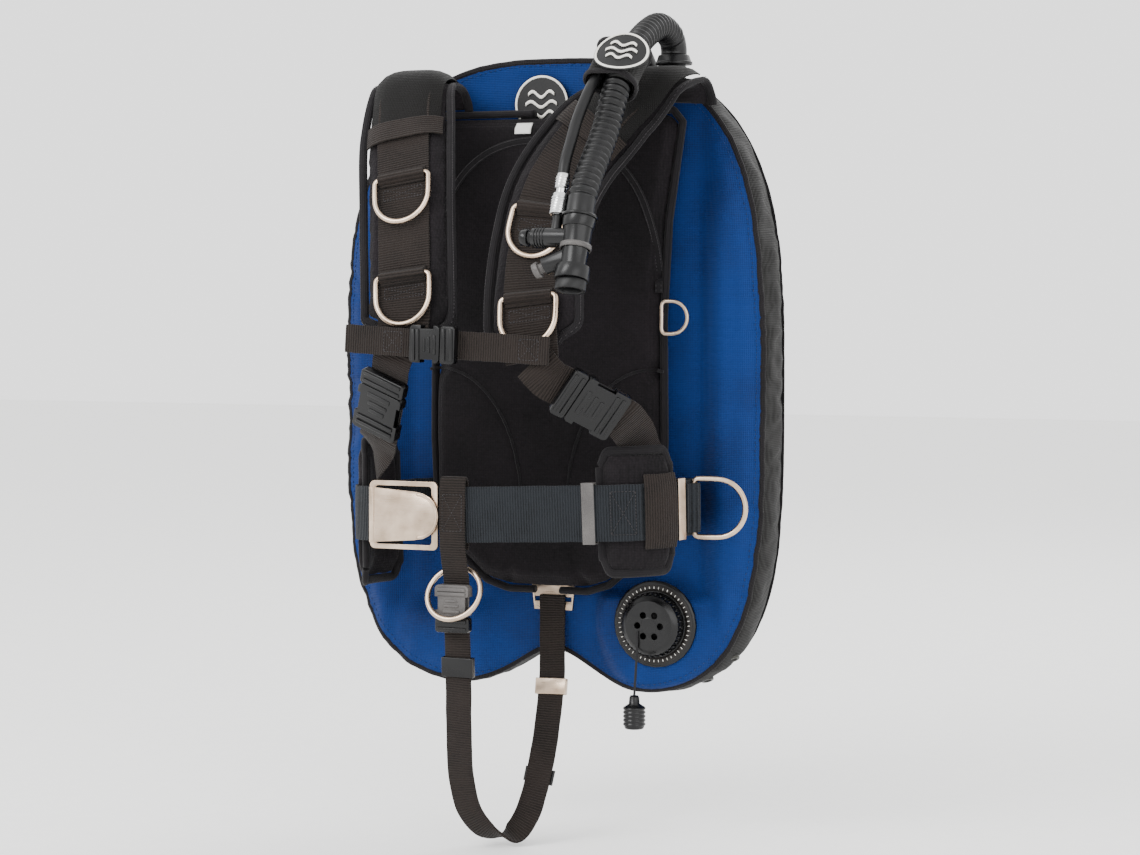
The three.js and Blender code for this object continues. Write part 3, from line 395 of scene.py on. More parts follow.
def ring_radii(angle):
    """Inner and outer radius of the wing, with the notch between its lower lobes."""
    outer = oval(angle, outer_half, outer_top, outer_bottom, 3, 4)
    notch = max(0, -math.sin(angle)) * 0.043 * math.exp(-((outer * math.cos(angle) / 0.060) ** 2))
    return oval(angle, hole_half, hole_top, hole_bottom, 3, 3), outer - notch


def front_face(share, x, z):
    """Depth of the front: flat behind the pad and the valve, and full beside and below them."""
    edge = 1 - 0.5 * smoothstep(share, 0.86, 1)
    beside = 0.0185 * smoothstep(abs(x), 0.141, 0.174) * (1 - 0.72 * smoothstep(z, 0.090, 0.210))
    below = 0.0125 * smoothstep(-z, 0.236, 0.262) * smoothstep(abs(x), 0.038, 0.088)
    y = -0.0039 - max(beside, below) * edge
    from_valve = math.hypot(x - valve_x, z - valve_z)
    ground = (1 - smoothstep(from_valve, 0.050, 0.068)) * smoothstep(-z, 0.226, 0.238)
    return y + (valve_ground - y) * ground * (share < seam_place)


def back_face(share, ring_width):
    """Depth of the back, fullest midway between the hole and the outer seam."""
    depth = 0.072 * (0.25 + 0.75 * min(1, ring_width / 0.150))
    if share < 0.52:
        return depth * (1 - ((0.52 - share) / 0.52) ** 2.2)
    return depth * (1 - 0.45 * ((share - 0.52) / 0.48) ** 2)


def pucker(angle, share, x, z):
    """Height of the cloth's gathers, from 0 to 1: close by the outer seam, loose folds elsewhere."""
    by_seam = math.exp(-(((share - seam_place) / 0.10) ** 2))
    around = Vector((math.cos(angle), math.sin(angle), 0))
    folds = noise.noise(around * 11 + Vector((0, 0, share * 1.6)))
    fine = noise.noise(around * 30 + Vector((0, 0, 9 + share * 2.0)))
    broad = noise.noise(Vector((x * 13, z * 10, 2.0)))
    long_folds = 1 - abs(noise.noise(Vector((x * 17, z * 5, 7.5)))) * 2.4
    return by_seam * (0.8 * folds + 0.7 * fine) + 0.5 * broad + 0.28 * max(0, long_folds)


def wing_point(angle, share, face):
    """Place on a face of the wing; its gathers lie flat under the pad and round the valve."""
    inner, outer = ring_radii(angle)
    radius = inner + (outer - inner) * share
    x, z = radius * math.cos(angle), wing_middle + radius * math.sin(angle)
    if face == "back":
        y = back_face(share, outer - inner) - 0.0024 * max(0, pucker(angle + 9, share, x, z))
        return Vector((x, y, z))
    beside, above = smoothstep(abs(x), 0.143, 0.168), smoothstep(z, 0.216, 0.232)
    below = smoothstep(-z, 0.240, 0.262) * smoothstep(abs(x), 0.05, 0.08)
    clear = max(beside, below, above)
    clear *= smoothstep(math.hypot(x - valve_x, z - valve_z), 0.044, 0.062)
    return Vector((x, front_face(share, x, z) - 0.0046 * clear * pucker(angle, share, x, z), z))


def wing_sheet(face, start, columns, rows):
    """Cloth of one face, from the ring's hole to the outer seam."""
    return laid(
        columns,
        rows,
        lambda u, v: wing_point(u * math.tau, start + (seam_place - start) * v, face),
        (1.6, 0.15),
        close=True,
    )


one_band = 0.314  # scale at which a wave texture draws one band a metre


# Woven nylon, coated inside: threads of 0.5 mm drawn 1.6 mm apart, so that they still show. The
# dye is uneven along the seams, and the low thread humps give it a faint satin sheen.
def woven(name, dark, light, thread, first, second, source, roughness, depth, sheen):
    material, tree, shader, coords = material_of(
        name, roughness, Sheen_Weight=sheen, Sheen_Roughness=0.4, Specular_IOR_Level=0.14
    )
    vector = coords.outputs[source]
    waves = {"Scale": one_band / thread, "Distortion": 0.5, "Detail": 1.0, "Detail Scale": 2.0}
    warp, weft = (
        add(tree, "TexWave", {"bands_direction": way, **waves}, {"Vector": vector}) for way in (first, second)
    )
    weave = add(tree, "Math", {"operation": "ADD"}, {0: warp.outputs["Fac"], 1: weft.outputs["Fac"]})
    place = coords.outputs["Object"]
    broad = add(tree, "TexNoise", {"Scale": 9.0, "Detail": 6.0, "Roughness": 0.6}, {"Vector": place})
    lint = add(tree, "TexNoise", {"Scale": 420.0, "Detail": 3.0}, {"Vector": place})
    soiled = add(tree, "Math", {**weighed, 1: 0.22}, {0: weave.outputs[0], 2: broad.outputs["Fac"]})
    shade = add(tree, "Math", {**weighed, 1: 0.25}, {0: lint.outputs["Fac"], 2: soiled.outputs[0]})
    creases = add(tree, "TexNoise", {"Scale": 70.0, "Detail": 4.0}, {"Vector": place})
    height = add(tree, "Math", {**weighed, 1: 1.6}, {0: creases.outputs["Fac"], 2: weave.outputs[0]})
    bump = add(tree, "Bump", {"Strength": 0.5, "Distance": depth}, {"Height": height.outputs[0]})
    gloss = add(
        tree,
        "MapRange",
        {"From Min": 0.3, "From Max": 0.7, "To Min": roughness - 0.06, "To Max": roughness + 0.08},
        {"Value": broad.outputs["Fac"]},
    )
    finish_material(tree, shader, shade.outputs[0], (0.48, dark), (1, light), gloss, bump)
    return material


blue_nylon = woven("woven_blue_nylon", "#03133a", "#082b64", 0.0016, "X", "Z", "Object", 0.66, 0.0005, 0.04)
black_nylon = woven("woven_black_nylon", "#060606", "#100f0e", 0.0016, "X", "Z", "Object", 0.7, 0.0005, 0.04)
piece(
    "wing_front_cloth", wing_sheet("front", 0.002, 360, 64), blue_nylon, "vest", "blue_fabric",
    "wing_front_panel", wall=0.0012,
)
piece(
    "wing_back_cloth", wing_sheet("back", 0.004, 300, 54), black_nylon, "vest", "black_fabric",
    "wing_back_panel", wall=0.0012,
)


# ---- Wing: edge band, its seams, and the bladder --------------------------------------------
# A gusset of the same black nylon joins the two faces. Each seam is bound with tape and topstitched,
# and two eyelets drain the gusset. The bladder inside is welded film and doesn't show.
def band_point(u, v):
    """Place on the gusset: u runs round the wing and v from its front seam to its back seam."""
    angle = u * math.tau
    front = wing_point(angle, seam_place, "front")
    back = wing_point(angle, seam_place, "back")
    inner, outer = ring_radii(angle)
    crown = math.sin(v * math.pi) ** 0.55
    around = Vector((math.cos(angle), math.sin(angle), 0))
    gather = noise.noise(around * 24 + Vector((0, 0, 5 + v * 2)))
    dent = noise.noise(around * 8 + Vector((0, 0, 1 + v * 1.5)))
    radius = inner + (outer - inner) * seam_place
    radius += (outer - inner) * (0.999 - seam_place) * crown + 0.0026 * crown * (gather + dent) - 0.0012
    y = front.y + (back.y - front.y) * v
    return Vector((radius * math.cos(angle), y, wing_middle + radius * math.sin(angle)))


gusset = laid(360, 16, band_point, (1.6, 0.05), close=True)
piece("wing_edge_gusset", gusset, black_nylon, "vest", "black_fabric", "wing_edge_band", wall=0.0012)
bladder = from_cad("wing_bladder")
bmesh.ops.scale(
    bladder, vec=(0.985, 0.84, 0.985), space=Matrix.Translation((0, -0.026, 0.030)), verts=bladder.verts
)
piece(
    "wing_bladder_film", bladder, moulded("welded_urethane_film", "#a2a59c", "#c4c6bf", 0.4, 500.0, 0.0001),
    "vest", "bladder_film", "wing_bladder",
)


def bound_seam(name, line, steps, width, height, closed, material, slot, body="vest"):
    """Folded tape along a line; line(u) gives its place, its outward side and its face direction."""

    def place(u, v):
        spot, side, up = line(v)
        turn = u * math.tau
        ripple = 1 + 0.10 * noise.noise(spot * 160)
        return spot + side * (width / 2 * math.cos(turn)) + up * (height / 2 * math.sin(turn) * ripple)

    folded = laid(10, steps, place, (width * 2, 1.0), close=True, cap=not closed)
    return piece(name, folded, material, body, slot)


def wing_seam(face, way):
    """Line of a face's outer seam, for its binding."""

    def line(v):
        angle = v * math.tau
        here = wing_point(angle, seam_place + 0.004, face)
        inward = wing_point(angle, seam_place - 0.03, face)
        side = (here - inward).normalized()
        along = wing_point(angle + 0.01, seam_place, face) - wing_point(angle - 0.01, seam_place, face)
        up = side.cross(along).normalized()
        return here, side, up if up.y * way > 0 else -up

    return line


# Polyester binding tape, woven narrow: ribs of 0.8 mm drawn 1.3 mm apart, greyer than the nylon.
binding_tape = woven(
    "woven_polyester_binding", "#080708", "#1a181a", 0.0013, "X", "Y", "UV", 0.76, 0.0006, 0.06
)
for face, way in (("front", -1), ("back", 1)):
    seam = wing_seam(face, way)
    bound_seam(f"wing_{face}_binding", seam, 420, 0.0056, 0.0030, True, binding_tape, "black_fabric")

# Bonded nylon sewing thread: twisted, slightly glossy, lighter than the cloth that it holds.
sewing_thread = moulded("bonded_nylon_thread", "#171618", "#3a3739", 0.5, 2200.0, 0.0002)


def stitched(name, places, length, thick, slot, material=sewing_thread):
    """Row of stitches: each place is a point, its run and the direction out of the cloth."""
    made = bmesh.new()
    for spot, run, up in places:
        bead = bmesh.ops.create_icosphere(made, subdivisions=1, radius=0.5)["verts"]
        side = up.cross(run).normalized()
        turn = Matrix((run * length, side * thick, up * thick * 0.8)).transposed().to_4x4()
        bmesh.ops.transform(made, matrix=Matrix.Translation(spot) @ turn, verts=bead)
    return piece(name, made, material, "vest", slot)


def wing_stitches(share, pitch):
    """Stitches round the front, one pitch apart."""
    around = 1.5
    for i in range(round(around / pitch)):
        angle = i * pitch / around * math.tau
        here = wing_point(angle, share, "front")
        run = (wing_point(angle + 0.004, share, "front") - here).normalized()
        side = (wing_point(angle, share + 0.01, "front") - here).normalized()
        up = run.cross(side).normalized()
        yield here + (up if up.y < 0 else -up) * 0.0009, run, up if up.y < 0 else -up


blue_thread = moulded("blue_nylon_thread", "#020f2c", "#0a2c62", 0.5, 2200.0, 0.0002)
topstitches = wing_stitches(0.937, 0.0042)
stitched("wing_topstitching", topstitches, 0.0032, 0.0009, "blue_fabric", blue_thread)


def turned(profile, origin, axis, sides=48):
    """Turned shape from [radius, height] pairs in millimetres, standing on origin along axis."""
    made = bmesh.new()
    rim = [made.verts.new((radius / 1000, 0, height / 1000)) for radius, height in profile]
    edges = [made.edges.new(pair) for pair in zip(rim, rim[1:])]
    bmesh.ops.spin(
        made, geom=rim + edges, cent=(0, 0, 0), axis=(0, 0, 1), angle=math.tau, steps=sides, use_merge=True
    )
    bmesh.ops.remove_doubles(made, verts=made.verts, dist=1e-6)
    bmesh.ops.recalc_face_normals(made, faces=made.faces)
    turn = Vector(axis).to_track_quat("Z", "Y").to_matrix().to_4x4()
    bmesh.ops.transform(made, matrix=Matrix.Translation(origin) @ turn, verts=made.verts)
    return made


dark_brass = moulded("blackened_brass", "#141412", "#3a3a34", 0.3, 900.0, 0.0001)
eyelet_profile = [(3.2, -1), (3.2, 0.8), (4.0, 1.6), (5.6, 1.4), (6.2, 0.3), (6.0, -1)]
for index, degrees in enumerate((-56.5, -62.5)):
    angle = math.radians(degrees)
    eyelet_place = band_point(angle / math.tau % 1, 0.42)
    outward = Vector((math.cos(angle) * 0.8, -0.30, math.sin(angle))).normalized()
    eyelet = turned(eyelet_profile, eyelet_place, outward, 32)
    piece(f"drain_eyelet_{index + 1}", eyelet, dark_brass, "vest", "chrome")
    bore = turned([(0, 0.5), (3.3, 0.6), (3.3, -1), (0, -1)], eyelet_place, outward, 24)
    piece(f"drain_eyelet_mesh_{index + 1}", bore, black_nylon, "vest", "black_fabric")


# ---- Wing: badge ------------------------------------------------------------------------------
# A moulded rubber disc sewn to the top of the wing, with a pale rim and three raised waves.
badge_black = moulded("moulded_badge_rubber", "#050506", "#101011", 0.45, 700.0, 0.0002)
badge_white = moulded("raised_white_rubber", "#cfccc4", "#eceae4", 0.5, 700.0, 0.0001)


def badge(name, centre, right, up, radius, bow):
    """Round badge facing right x up; bow is how far its sides curve back."""
    out = right.cross(up).normalized()

    def spot(x, y, lift):
        back = bow * (x / radius) ** 2
        return centre + right * x + up * y + out * (lift - back)

    def disc(u, v):
        turn, reach = u * math.tau, min(v / 0.9, 1)
        lift = 0.0016 if v < 0.93 else 0.0002
        return spot(radius * reach * math.cos(turn), radius * reach * math.sin(turn), lift)

    def rim(u, v):
        turn, around = v * math.tau, u * math.tau
        reach = 1 - 0.0015 / radius + 0.0011 / radius * math.cos(around)
        lift = 0.0017 + 0.0007 * math.sin(around)
        return spot(radius * reach * math.cos(turn), radius * reach * math.sin(turn), lift)

    piece(f"{name}_disc", laid(48, 10, disc, (0.16, 0.03), close=True), badge_black, "vest", "rubber")
    piece(f"{name}_rim", laid(8, 64, rim, (0.01, 0.16), close=True), badge_white, "vest", "rubber")
    for row in (-1, 0, 1):

        def wave(u, v, row=row):
            x = radius * (1.16 - 0.2 * abs(row)) * (v - 0.5)
            y = radius * (0.34 * row + 0.10 * math.sin(v * math.tau * 1.5) + 0.11 * (u - 0.5))
            return spot(x, y, 0.0024)

        strip = laid(2, 28, wave, (0.003, 0.03))
        piece(f"{name}_wave_{row + 2}", strip, badge_white, "vest", "rubber", wall=0.0011)


badge("wing_badge", mm(-10, -9, 219), Vector((1, 0, 0)), Vector((0, 0, 1)), 0.027, 0)


# ---- Centre panel, backplate and wing screws --------------------------------------------------
# The hole of the ring is closed by a flat nylon panel, clamped between the tank and the bent
# stainless plate by two-part screws that hold the harness to the wing.
def centre_point(u, v):
    """Place on the panel: u runs round it and v out from its middle."""
    angle = u * math.tau
    reach = (ring_radii(angle)[0] + 0.0015) * v
    x, z = reach * math.cos(angle), reach * math.sin(angle)
    crown = 0.0008 * noise.noise(Vector((x * 22, z * 22, 8)))
    return Vector((x, -0.0031 + crown * (v < 0.95), wing_middle + z))


def hole_seam(v):
    """Line of the seam round the ring's hole."""

    def rim(angle):
        inner = ring_radii(angle)[0] + 0.002
        return Vector((inner * math.cos(angle), -0.0014, wing_middle + inner * math.sin(angle)))

    here, ahead = rim(v * math.tau), rim(v * math.tau + 0.02)
    side = (ahead - here).cross(Vector((0, 1, 0))).normalized()
    return here, side, Vector((0, 1, 0))


centre_panel = laid(180, 24, centre_point, (0.4, 0.18), close=True)
piece(
    "wing_centre_cloth", centre_panel, black_nylon, "vest", "black_fabric", "wing_centre_panel",
    wall=0.0016,
)
bound_seam("wing_hole_binding", hole_seam, 240, 0.0074, 0.0042, True, binding_tape, "black_fabric")


# AISI 316 sheet and wire, satin brushed: warm grey highlights, drawn out by the fine scratches.
satin_steel, tree, shader, coords = material_of("satin_stainless_steel", 0.26, 1.0)
stretch = add(tree, "Mapping", {"Scale": (60.0, 60.0, 900.0)}, {"Vector": coords.outputs["Object"]})
scratches = add(tree, "TexNoise", {"Scale": 1.0, "Detail": 4.0}, {"Vector": stretch.outputs["Vector"]})
clouds = add(tree, "TexNoise", {"Scale": 40.0, "Detail": 3.0}, {"Vector": coords.outputs["Object"]})
rub = add(tree, "MapRange", {"To Min": 0.18, "To Max": 0.42}, {"Value": scratches.outputs["Fac"]})
bump = add(tree, "Bump", {"Strength": 0.15, "Distance": 0.0002}, {"Height": scratches.outputs["Fac"]})
finish_material(tree, shader, clouds.outputs["Fac"], (0.3, "#9f8b77"), (0.7, "#d9c3ae"), rub, bump)

copied("backplate_sheet", "backplate", satin_steel, "vest", "steel", 0.0004)
for place in ("upper", "lower"):
    node = f"{place}_wing_screw"
    copied(f"{node}_turned", node, satin_steel, "vest", "steel", 0.0003)


# ---- Dump valve -------------------------------------------------------------------------------
# Moulded ABS: a wide flange welded to the wing, a vented cap on it, and a rubber poppet inside that
# the cord lifts. A ring of small ribs gives the fingers grip on the cap.
black_abs = moulded("moulded_black_abs", "#050506", "#0c0c0d", 0.27, 1300.0, 0.0002)
grey_abs = moulded("moulded_grey_abs", "#3a3838", "#5c5957", 0.4, 1300.0, 0.0002)
copied("valve_housing", "valve_body", black_abs, "vest", "plastic", 0.0008)
copied("valve_poppet_disc", "valve_poppet", hose_rubber, "poppet", "rubber", 0.0004)
valve_centre = Vector((valve_x, valve_ground - 0.0003, valve_z))
out_of_wing = Vector((0, -1, 0))
grip = bmesh.new()
for i in range(36):
    angle = i / 36 * math.tau
    rib = bmesh.ops.create_cone(
        grip, cap_ends=True, segments=6, radius1=0.0011, radius2=0.0008, depth=0.010
    )["verts"]
    spot = valve_centre + Vector((0.0287 * math.cos(angle), -0.0098, 0.0287 * math.sin(angle)))
    laid_down = Matrix.Translation(spot) @ Matrix.Rotation(math.pi / 2, 4, "X")
    bmesh.ops.transform(grip, matrix=laid_down, verts=rib)
piece("valve_grip_ribs", grip, black_abs, "vest", "plastic")
label_black = moulded("printed_black_label", "#0b0908", "#1b1614", 0.42, 900.0, 0.0001)
ring_profile = [(30.5, 4.0), (31, 4.5), (36, 4.5), (36.6, 4.0)]
piece("valve_label_ring", turned(ring_profile, valve_centre, out_of_wing, 64), label_black, "vest", "plastic")
ticks = []
for index in range(48):
    angle = index / 48 * math.tau
    spot = valve_centre + Vector((0.0336 * math.cos(angle), -0.0046, 0.0336 * math.sin(angle)))
    ticks.append((spot, Vector((math.cos(angle), 0, math.sin(angle))), out_of_wing))
stitched("valve_label_ticks", ticks, 0.0030, 0.0008, "plastic", badge_white)
cap_profile = [(0, 19.05), (6, 19.4), (7.5, 19.2), (7.8, 19.05)]
piece("valve_cap_boss", turned(cap_profile, valve_centre, out_of_wing), black_abs, "vest", "plastic")

knob_top = mm(94, -40.4, -320.3)
knob_profile = [(0, 0), (3.6, -0.2), (4.6, -2), (5, -7.5), (8, -9.5)]
for rib in range(5):
    height = -10.5 - 3.6 * rib
    knob_profile += [(9.6, height), (10.3, height - 0.9), (10.3, height - 1.9), (9.2, height - 2.8)]
knob_profile += [(9.2, -28.6), (8.4, -30.3), (6.0, -30.8), (0, -30.9)]
pull_knob = piece(
    "pull_knob_moulded", turned(knob_profile, knob_top, (0, 0, 1)), black_abs, "pull", "plastic", "pull_knob",
)
list(cord_route(0)[0])


# ---- Back pad ---------------------------------------------------------------------------------
# Foam slab in a knitted mesh cover, bound round its edge. A taped seam arches over its upper field,
# two cross seams hold the foam, and curved seams shape two lower fields that swell between them.
def seen(at_rest):
    """Surface tree of a finished mesh, to lay seams and tags on it."""
    return BVHTree.FromPolygons([v.co for v in at_rest.vertices], [p.vertices[:] for p in at_rest.polygons])


def swollen(name, node, voxel, start, cap):
    """Copy of a padded CAD node, a little smaller, that a cloth simulation has blown up."""
    made = from_cad(node)
    bmesh.ops.triangulate(made, faces=made.faces)
    start(made)
    mesh = bpy.data.meshes.new(name)
    made.to_mesh(mesh)
    made.free()
    pad = bpy.data.objects.new(name, mesh)
    bpy.context.collection.objects.link(pad)
    remesh = pad.modifiers.new("remesh", "REMESH")
    remesh.mode = "VOXEL"
    remesh.voxel_size = voxel
    pad.data = baked(pad)
    pad.modifiers.clear()
    rest = [v.co.copy() for v in pad.data.vertices]
    cloth = pad.modifiers.new("cloth", "CLOTH")
    cloth.settings.use_pressure = True
    cloth.settings.uniform_pressure_force = 4
    cloth.settings.effector_weights.gravity = 0
    cloth.settings.quality = 5
    cloth.point_cache.frame_start = 1
    cloth.point_cache.frame_end = 20
    for frame_number in range(1, 21):
        bpy.context.scene.frame_set(frame_number)
    pad.data = baked(pad)
    pad.modifiers.clear()
    bpy.context.scene.frame_set(1)
    for vertex, home in zip(pad.data.vertices, rest):
        move = vertex.co - home
        if move.length > cap:
            vertex.co = home + move * (cap / move.length)
    return pad


def baked(obj):
    """Mesh of an object with its modifiers in it."""
    bpy.context.view_layer.update()
    graph = bpy.context.evaluated_depsgraph_get()
    return bpy.data.meshes.new_from_object(obj.evaluated_get(graph), depsgraph=graph)


def finished_pad(pad, material, body, node):
    pad.data.materials.clear()
    pad.data.materials.append(material)
    pad.data.shade_smooth()
    fine = pad.modifiers.new("smooth", "SUBSURF")
    fine.levels = 1
    fine.render_levels = 1
    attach(pad, body)
    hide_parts(node)


# Knitted polyester air mesh over foam: small round holes 2.4 mm apart, deep black with grey crests.
air_mesh, tree, shader, coords = material_of(
    "knitted_polyester_air_mesh", 0.92, Sheen_Weight=0.05, Sheen_Roughness=0.5, Specular_IOR_Level=0.12
)
holes = add(tree, "TexVoronoi", {"Scale": 420.0, "Randomness": 0.35}, {"Vector": coords.outputs["Object"]})
broad = add(tree, "TexNoise", {"Scale": 14.0, "Detail": 6.0}, {"Vector": coords.outputs["Object"]})
lint = add(tree, "TexNoise", {"Scale": 300.0, "Detail": 3.0}, {"Vector": coords.outputs["Object"]})
hole = holes.outputs["Distance"]
pitted = add(tree, "Math", {**weighed, 1: -0.55}, {0: hole, 2: broad.outputs["Fac"]})
shade = add(tree, "Math", {**weighed, 1: 0.3}, {0: lint.outputs["Fac"], 2: pitted.outputs[0]})
knit = add(tree, "Math", {**weighed, 1: -1.0}, {0: hole, 2: lint.outputs["Fac"]})
bump = add(tree, "Bump", {"Strength": 0.7, "Distance": 0.0007}, {"Height": knit.outputs[0]})
gloss = add(tree, "MapRange", {"To Min": 0.8, "To Max": 0.97}, {"Value": broad.outputs["Fac"]})
finish_material(tree, shader, shade.outputs[0], (0.1, "#080708"), (0.85, "#1e1a1d"), gloss, bump)

pad_back, pad_front = -0.0082, -0.0302
pad_mid = (pad_back + pad_front) / 2
pad_outline = [
    (40, -232), (62, -225), (90, -201), (114, -156), (117, -90), (116, 20), (121, 110), (134, 200),
    (124, 212),
]


def pad_edge(u):
    """Place on the pad's outline, from the middle of its foot round to the middle of its top."""
    knots = [(0, -232)] + pad_outline + [(0, 212)]
    runs = [math.dist(a, b) for a, b in zip(knots, knots[1:])]
    goal = u * sum(runs)
    for (ax, az), (bx, bz), run in zip(knots, knots[1:], runs):
        if goal <= run:
            break
        goal -= run
    share = min(goal / run, 1)
    return ax + (bx - ax) * share, az + (bz - az) * share


edge_line = [pad_edge(i / 160) for i in range(161)]


def lobe(x, z):
    """1 on the curved seam of the pad's two lower fields, less inside them and more outside."""
    return math.hypot((abs(x) - 0.105) / 0.082, (z + 0.150) / 0.125)


cross_seams = (0.052, 0.062)


def shrink_pad(made):
    """Draws the slab in on all sides, to leave room for its swelling."""
    for vertex in made.verts:
        vertex.co.x *= 0.99
        vertex.co.z = -0.01 + (vertex.co.z + 0.01) * 0.992
        vertex.co.y = pad_mid + (vertex.co.y - pad_mid) * 0.90


back_pad = swollen("back_pad_cover", "back_pad", 0.0045, shrink_pad, 0.005)
for vertex in back_pad.data.vertices:
    x, y, z = vertex.co
    inside = min(math.dist((abs(x) * 1000, z * 1000), spot) for spot in edge_line) / 1000
    pinch = 0.45 + 0.55 * smoothstep(inside, 0.005, 0.022)
    y = pad_mid + (y - pad_mid) * pinch
    if y < pad_mid:
        seam = math.exp(-(((lobe(x, z) - 1) * 0.095 / 0.0042) ** 2))
        for height in cross_seams:
            seam = max(seam, 0.5 * math.exp(-(((z - height) / 0.0030) ** 2)))
        y -= 0.0016 * smoothstep(lobe(x, z), 0.97, 0.75)
        ribs = 0.0007 * noise.noise(Vector((x * 26, z * 20, 3.0)))
        y += 0.0060 * seam + ribs * (1 - seam)
    vertex.co.y = min(max(y, pad_front + 0.0004), pad_back)
pad_tree = seen(back_pad.data)
finished_pad(back_pad, air_mesh, "vest", "back_pad")


def on_pad(x, z):
    """Place on the front of the pad's cover at x and z."""
    hit = pad_tree.ray_cast(Vector((x, -0.08, z)), Vector((0, 1, 0)))[0]
    return hit if hit else Vector((x, pad_front + 0.004, z))


def pad_binding(side):
    """Line of the tape round one side of the pad."""

    def line(v):
        x, z = pad_edge(0.02 + 0.96 * v)
        near_x, near_z = pad_edge(0.02 + 0.96 * min(v + 0.01, 1))
        far_x, far_z = pad_edge(0.02 + 0.96 * max(v - 0.01, 0))
        run = Vector((near_x - far_x, 0, near_z - far_z)).normalized()
        out = Vector((run.z, 0, -run.x))
        spot = mm(x, 0, z) + Vector((0, pad_mid, 0)) - out * 0.002
        return Vector((spot.x * side, spot.y, spot.z)), Vector((out.x * side, 0, out.z)), Vector((0, -1, 0))

    return line


def arch_tape(side):
    """Tape that arches from the pad's side, at elbow height, to the middle of its top."""

    def edge(turn):
        return 0.112 * max(math.cos(turn), 0) ** 0.8, 0.040 + 0.145 * math.sin(turn) ** 0.8

    def line(v):
        turn = (0.01 + 0.98 * v) * math.pi / 2
        (x, z), (next_x, next_z) = edge(turn), edge(turn + 0.01)
        spot = on_pad(side * x, z)
        out = Vector((side * (next_z - z), 0, x - next_x)).normalized()
        return spot + Vector((0, -0.0001, 0)), out, Vector((0, -1, 0))

    return line


def lobe_piping(side):
    """Line of the piping in one lower field's seam."""

    def line(v):
        turn = math.radians(-14 + 112 * v)
        x, z = 0.105 - 0.082 * math.cos(turn), -0.150 + 0.125 * math.sin(turn)
        out = Vector((side * -0.125 * math.cos(turn), 0, 0.082 * math.sin(turn))).normalized()
        return on_pad(side * x, z) + Vector((0, -0.0004, 0)), out, Vector((0, -1, 0))

    return line


for side, word in ((1, "left"), (-1, "right")):
    for kind, line, steps, width, height in (
        ("binding", pad_binding(side), 220, 0.0070, 0.0110),
        ("arch", arch_tape(side), 110, 0.0072, 0.0022),
        ("lobe", lobe_piping(side), 120, 0.0030, 0.0030),
    ):
        bound_seam(f"back_pad_{kind}_{word}", line, steps, width, height, False, binding_tape, "pad_fabric")
    stitch_places = []
    for index in range(84):
        spot, out, up = arch_tape(side)((index + 0.5) / 84)
        ahead = arch_tape(side)((index + 0.6) / 84)[0]
        run = (ahead - spot).normalized()
        for offset in (-0.0024, 0.0024):
            stitch_places.append((spot + out * offset + up * 0.0012, run, up))
    stitched(f"back_pad_arch_stitches_{word}", stitch_places, 0.0028, 0.0008, "pad_fabric")

# Size label of white satin ribbon, folded and sewn in by its upper edge; it carries no words.
white_ribbon = woven(
    "woven_white_satin_ribbon", "#b9b6b2", "#e4e2de", 0.0012, "X", "Z", "Object", 0.5, 0.0003, 0.3
)


def label_spot(u, v):
    """Place on the label, which stands off the pad at its free end."""
    x, z = -0.020 + 0.016 * (u - 0.5), 0.196 + 0.010 * (v - 0.5)
    return on_pad(x, z) + Vector((0, -0.0006 - 0.0014 * (1 - v) ** 2, 0))


piece("size_label", laid(8, 6, label_spot, (0.016, 0.010)), white_ribbon, "vest", "pad_fabric", wall=0.0006)


# ---- Shoulder straps --------------------------------------------------------------------------
# Each is a foam pad in the same mesh, its edges bound with tape, with 50 mm webbing sewn along it.
# Short webbing arches, box-stitched at both ends, hold the bars of the D rings.
across_body = Vector((1, 0, 0))


def strap_frame(at, across, u):
    """Place, width direction, outward normal and run of a strap."""
    place, way = at(u)
    wanted = across(u) if callable(across) else across
    side = (wanted - way * wanted.dot(way)).normalized()
    return place, side, way.cross(side), way


def on_strap(at, across, u, over, lift):
    """Place on a strap, over from its middle line and lift above it."""
    place, side, out, way = strap_frame(at, across, u)
    return place + side * over + out * lift


def strap_sheet(at, across, width, lift, start=0.0, end=1.0, steps=120, crown=0.0003):
    """Webbing's middle surface. Width and lift are in metres, or functions of the place on the strap."""

    def place(u, v):
        wide = width(v) if callable(width) else width
        high = lift(v) if callable(lift) else lift
        edge = 2 * u - 1
        spot = start + (end - start) * v
        waver = 0.0004 * noise.noise(Vector((spot * 30, edge * 0.5, at.length * 9)))
        return on_strap(at, across, spot, edge * wide / 2 + waver, high - crown * edge**4 + waver * 0.5)

    size = (width(0.5) if callable(width) else width, at.length * (end - start))
    return laid(10, steps, place, size)


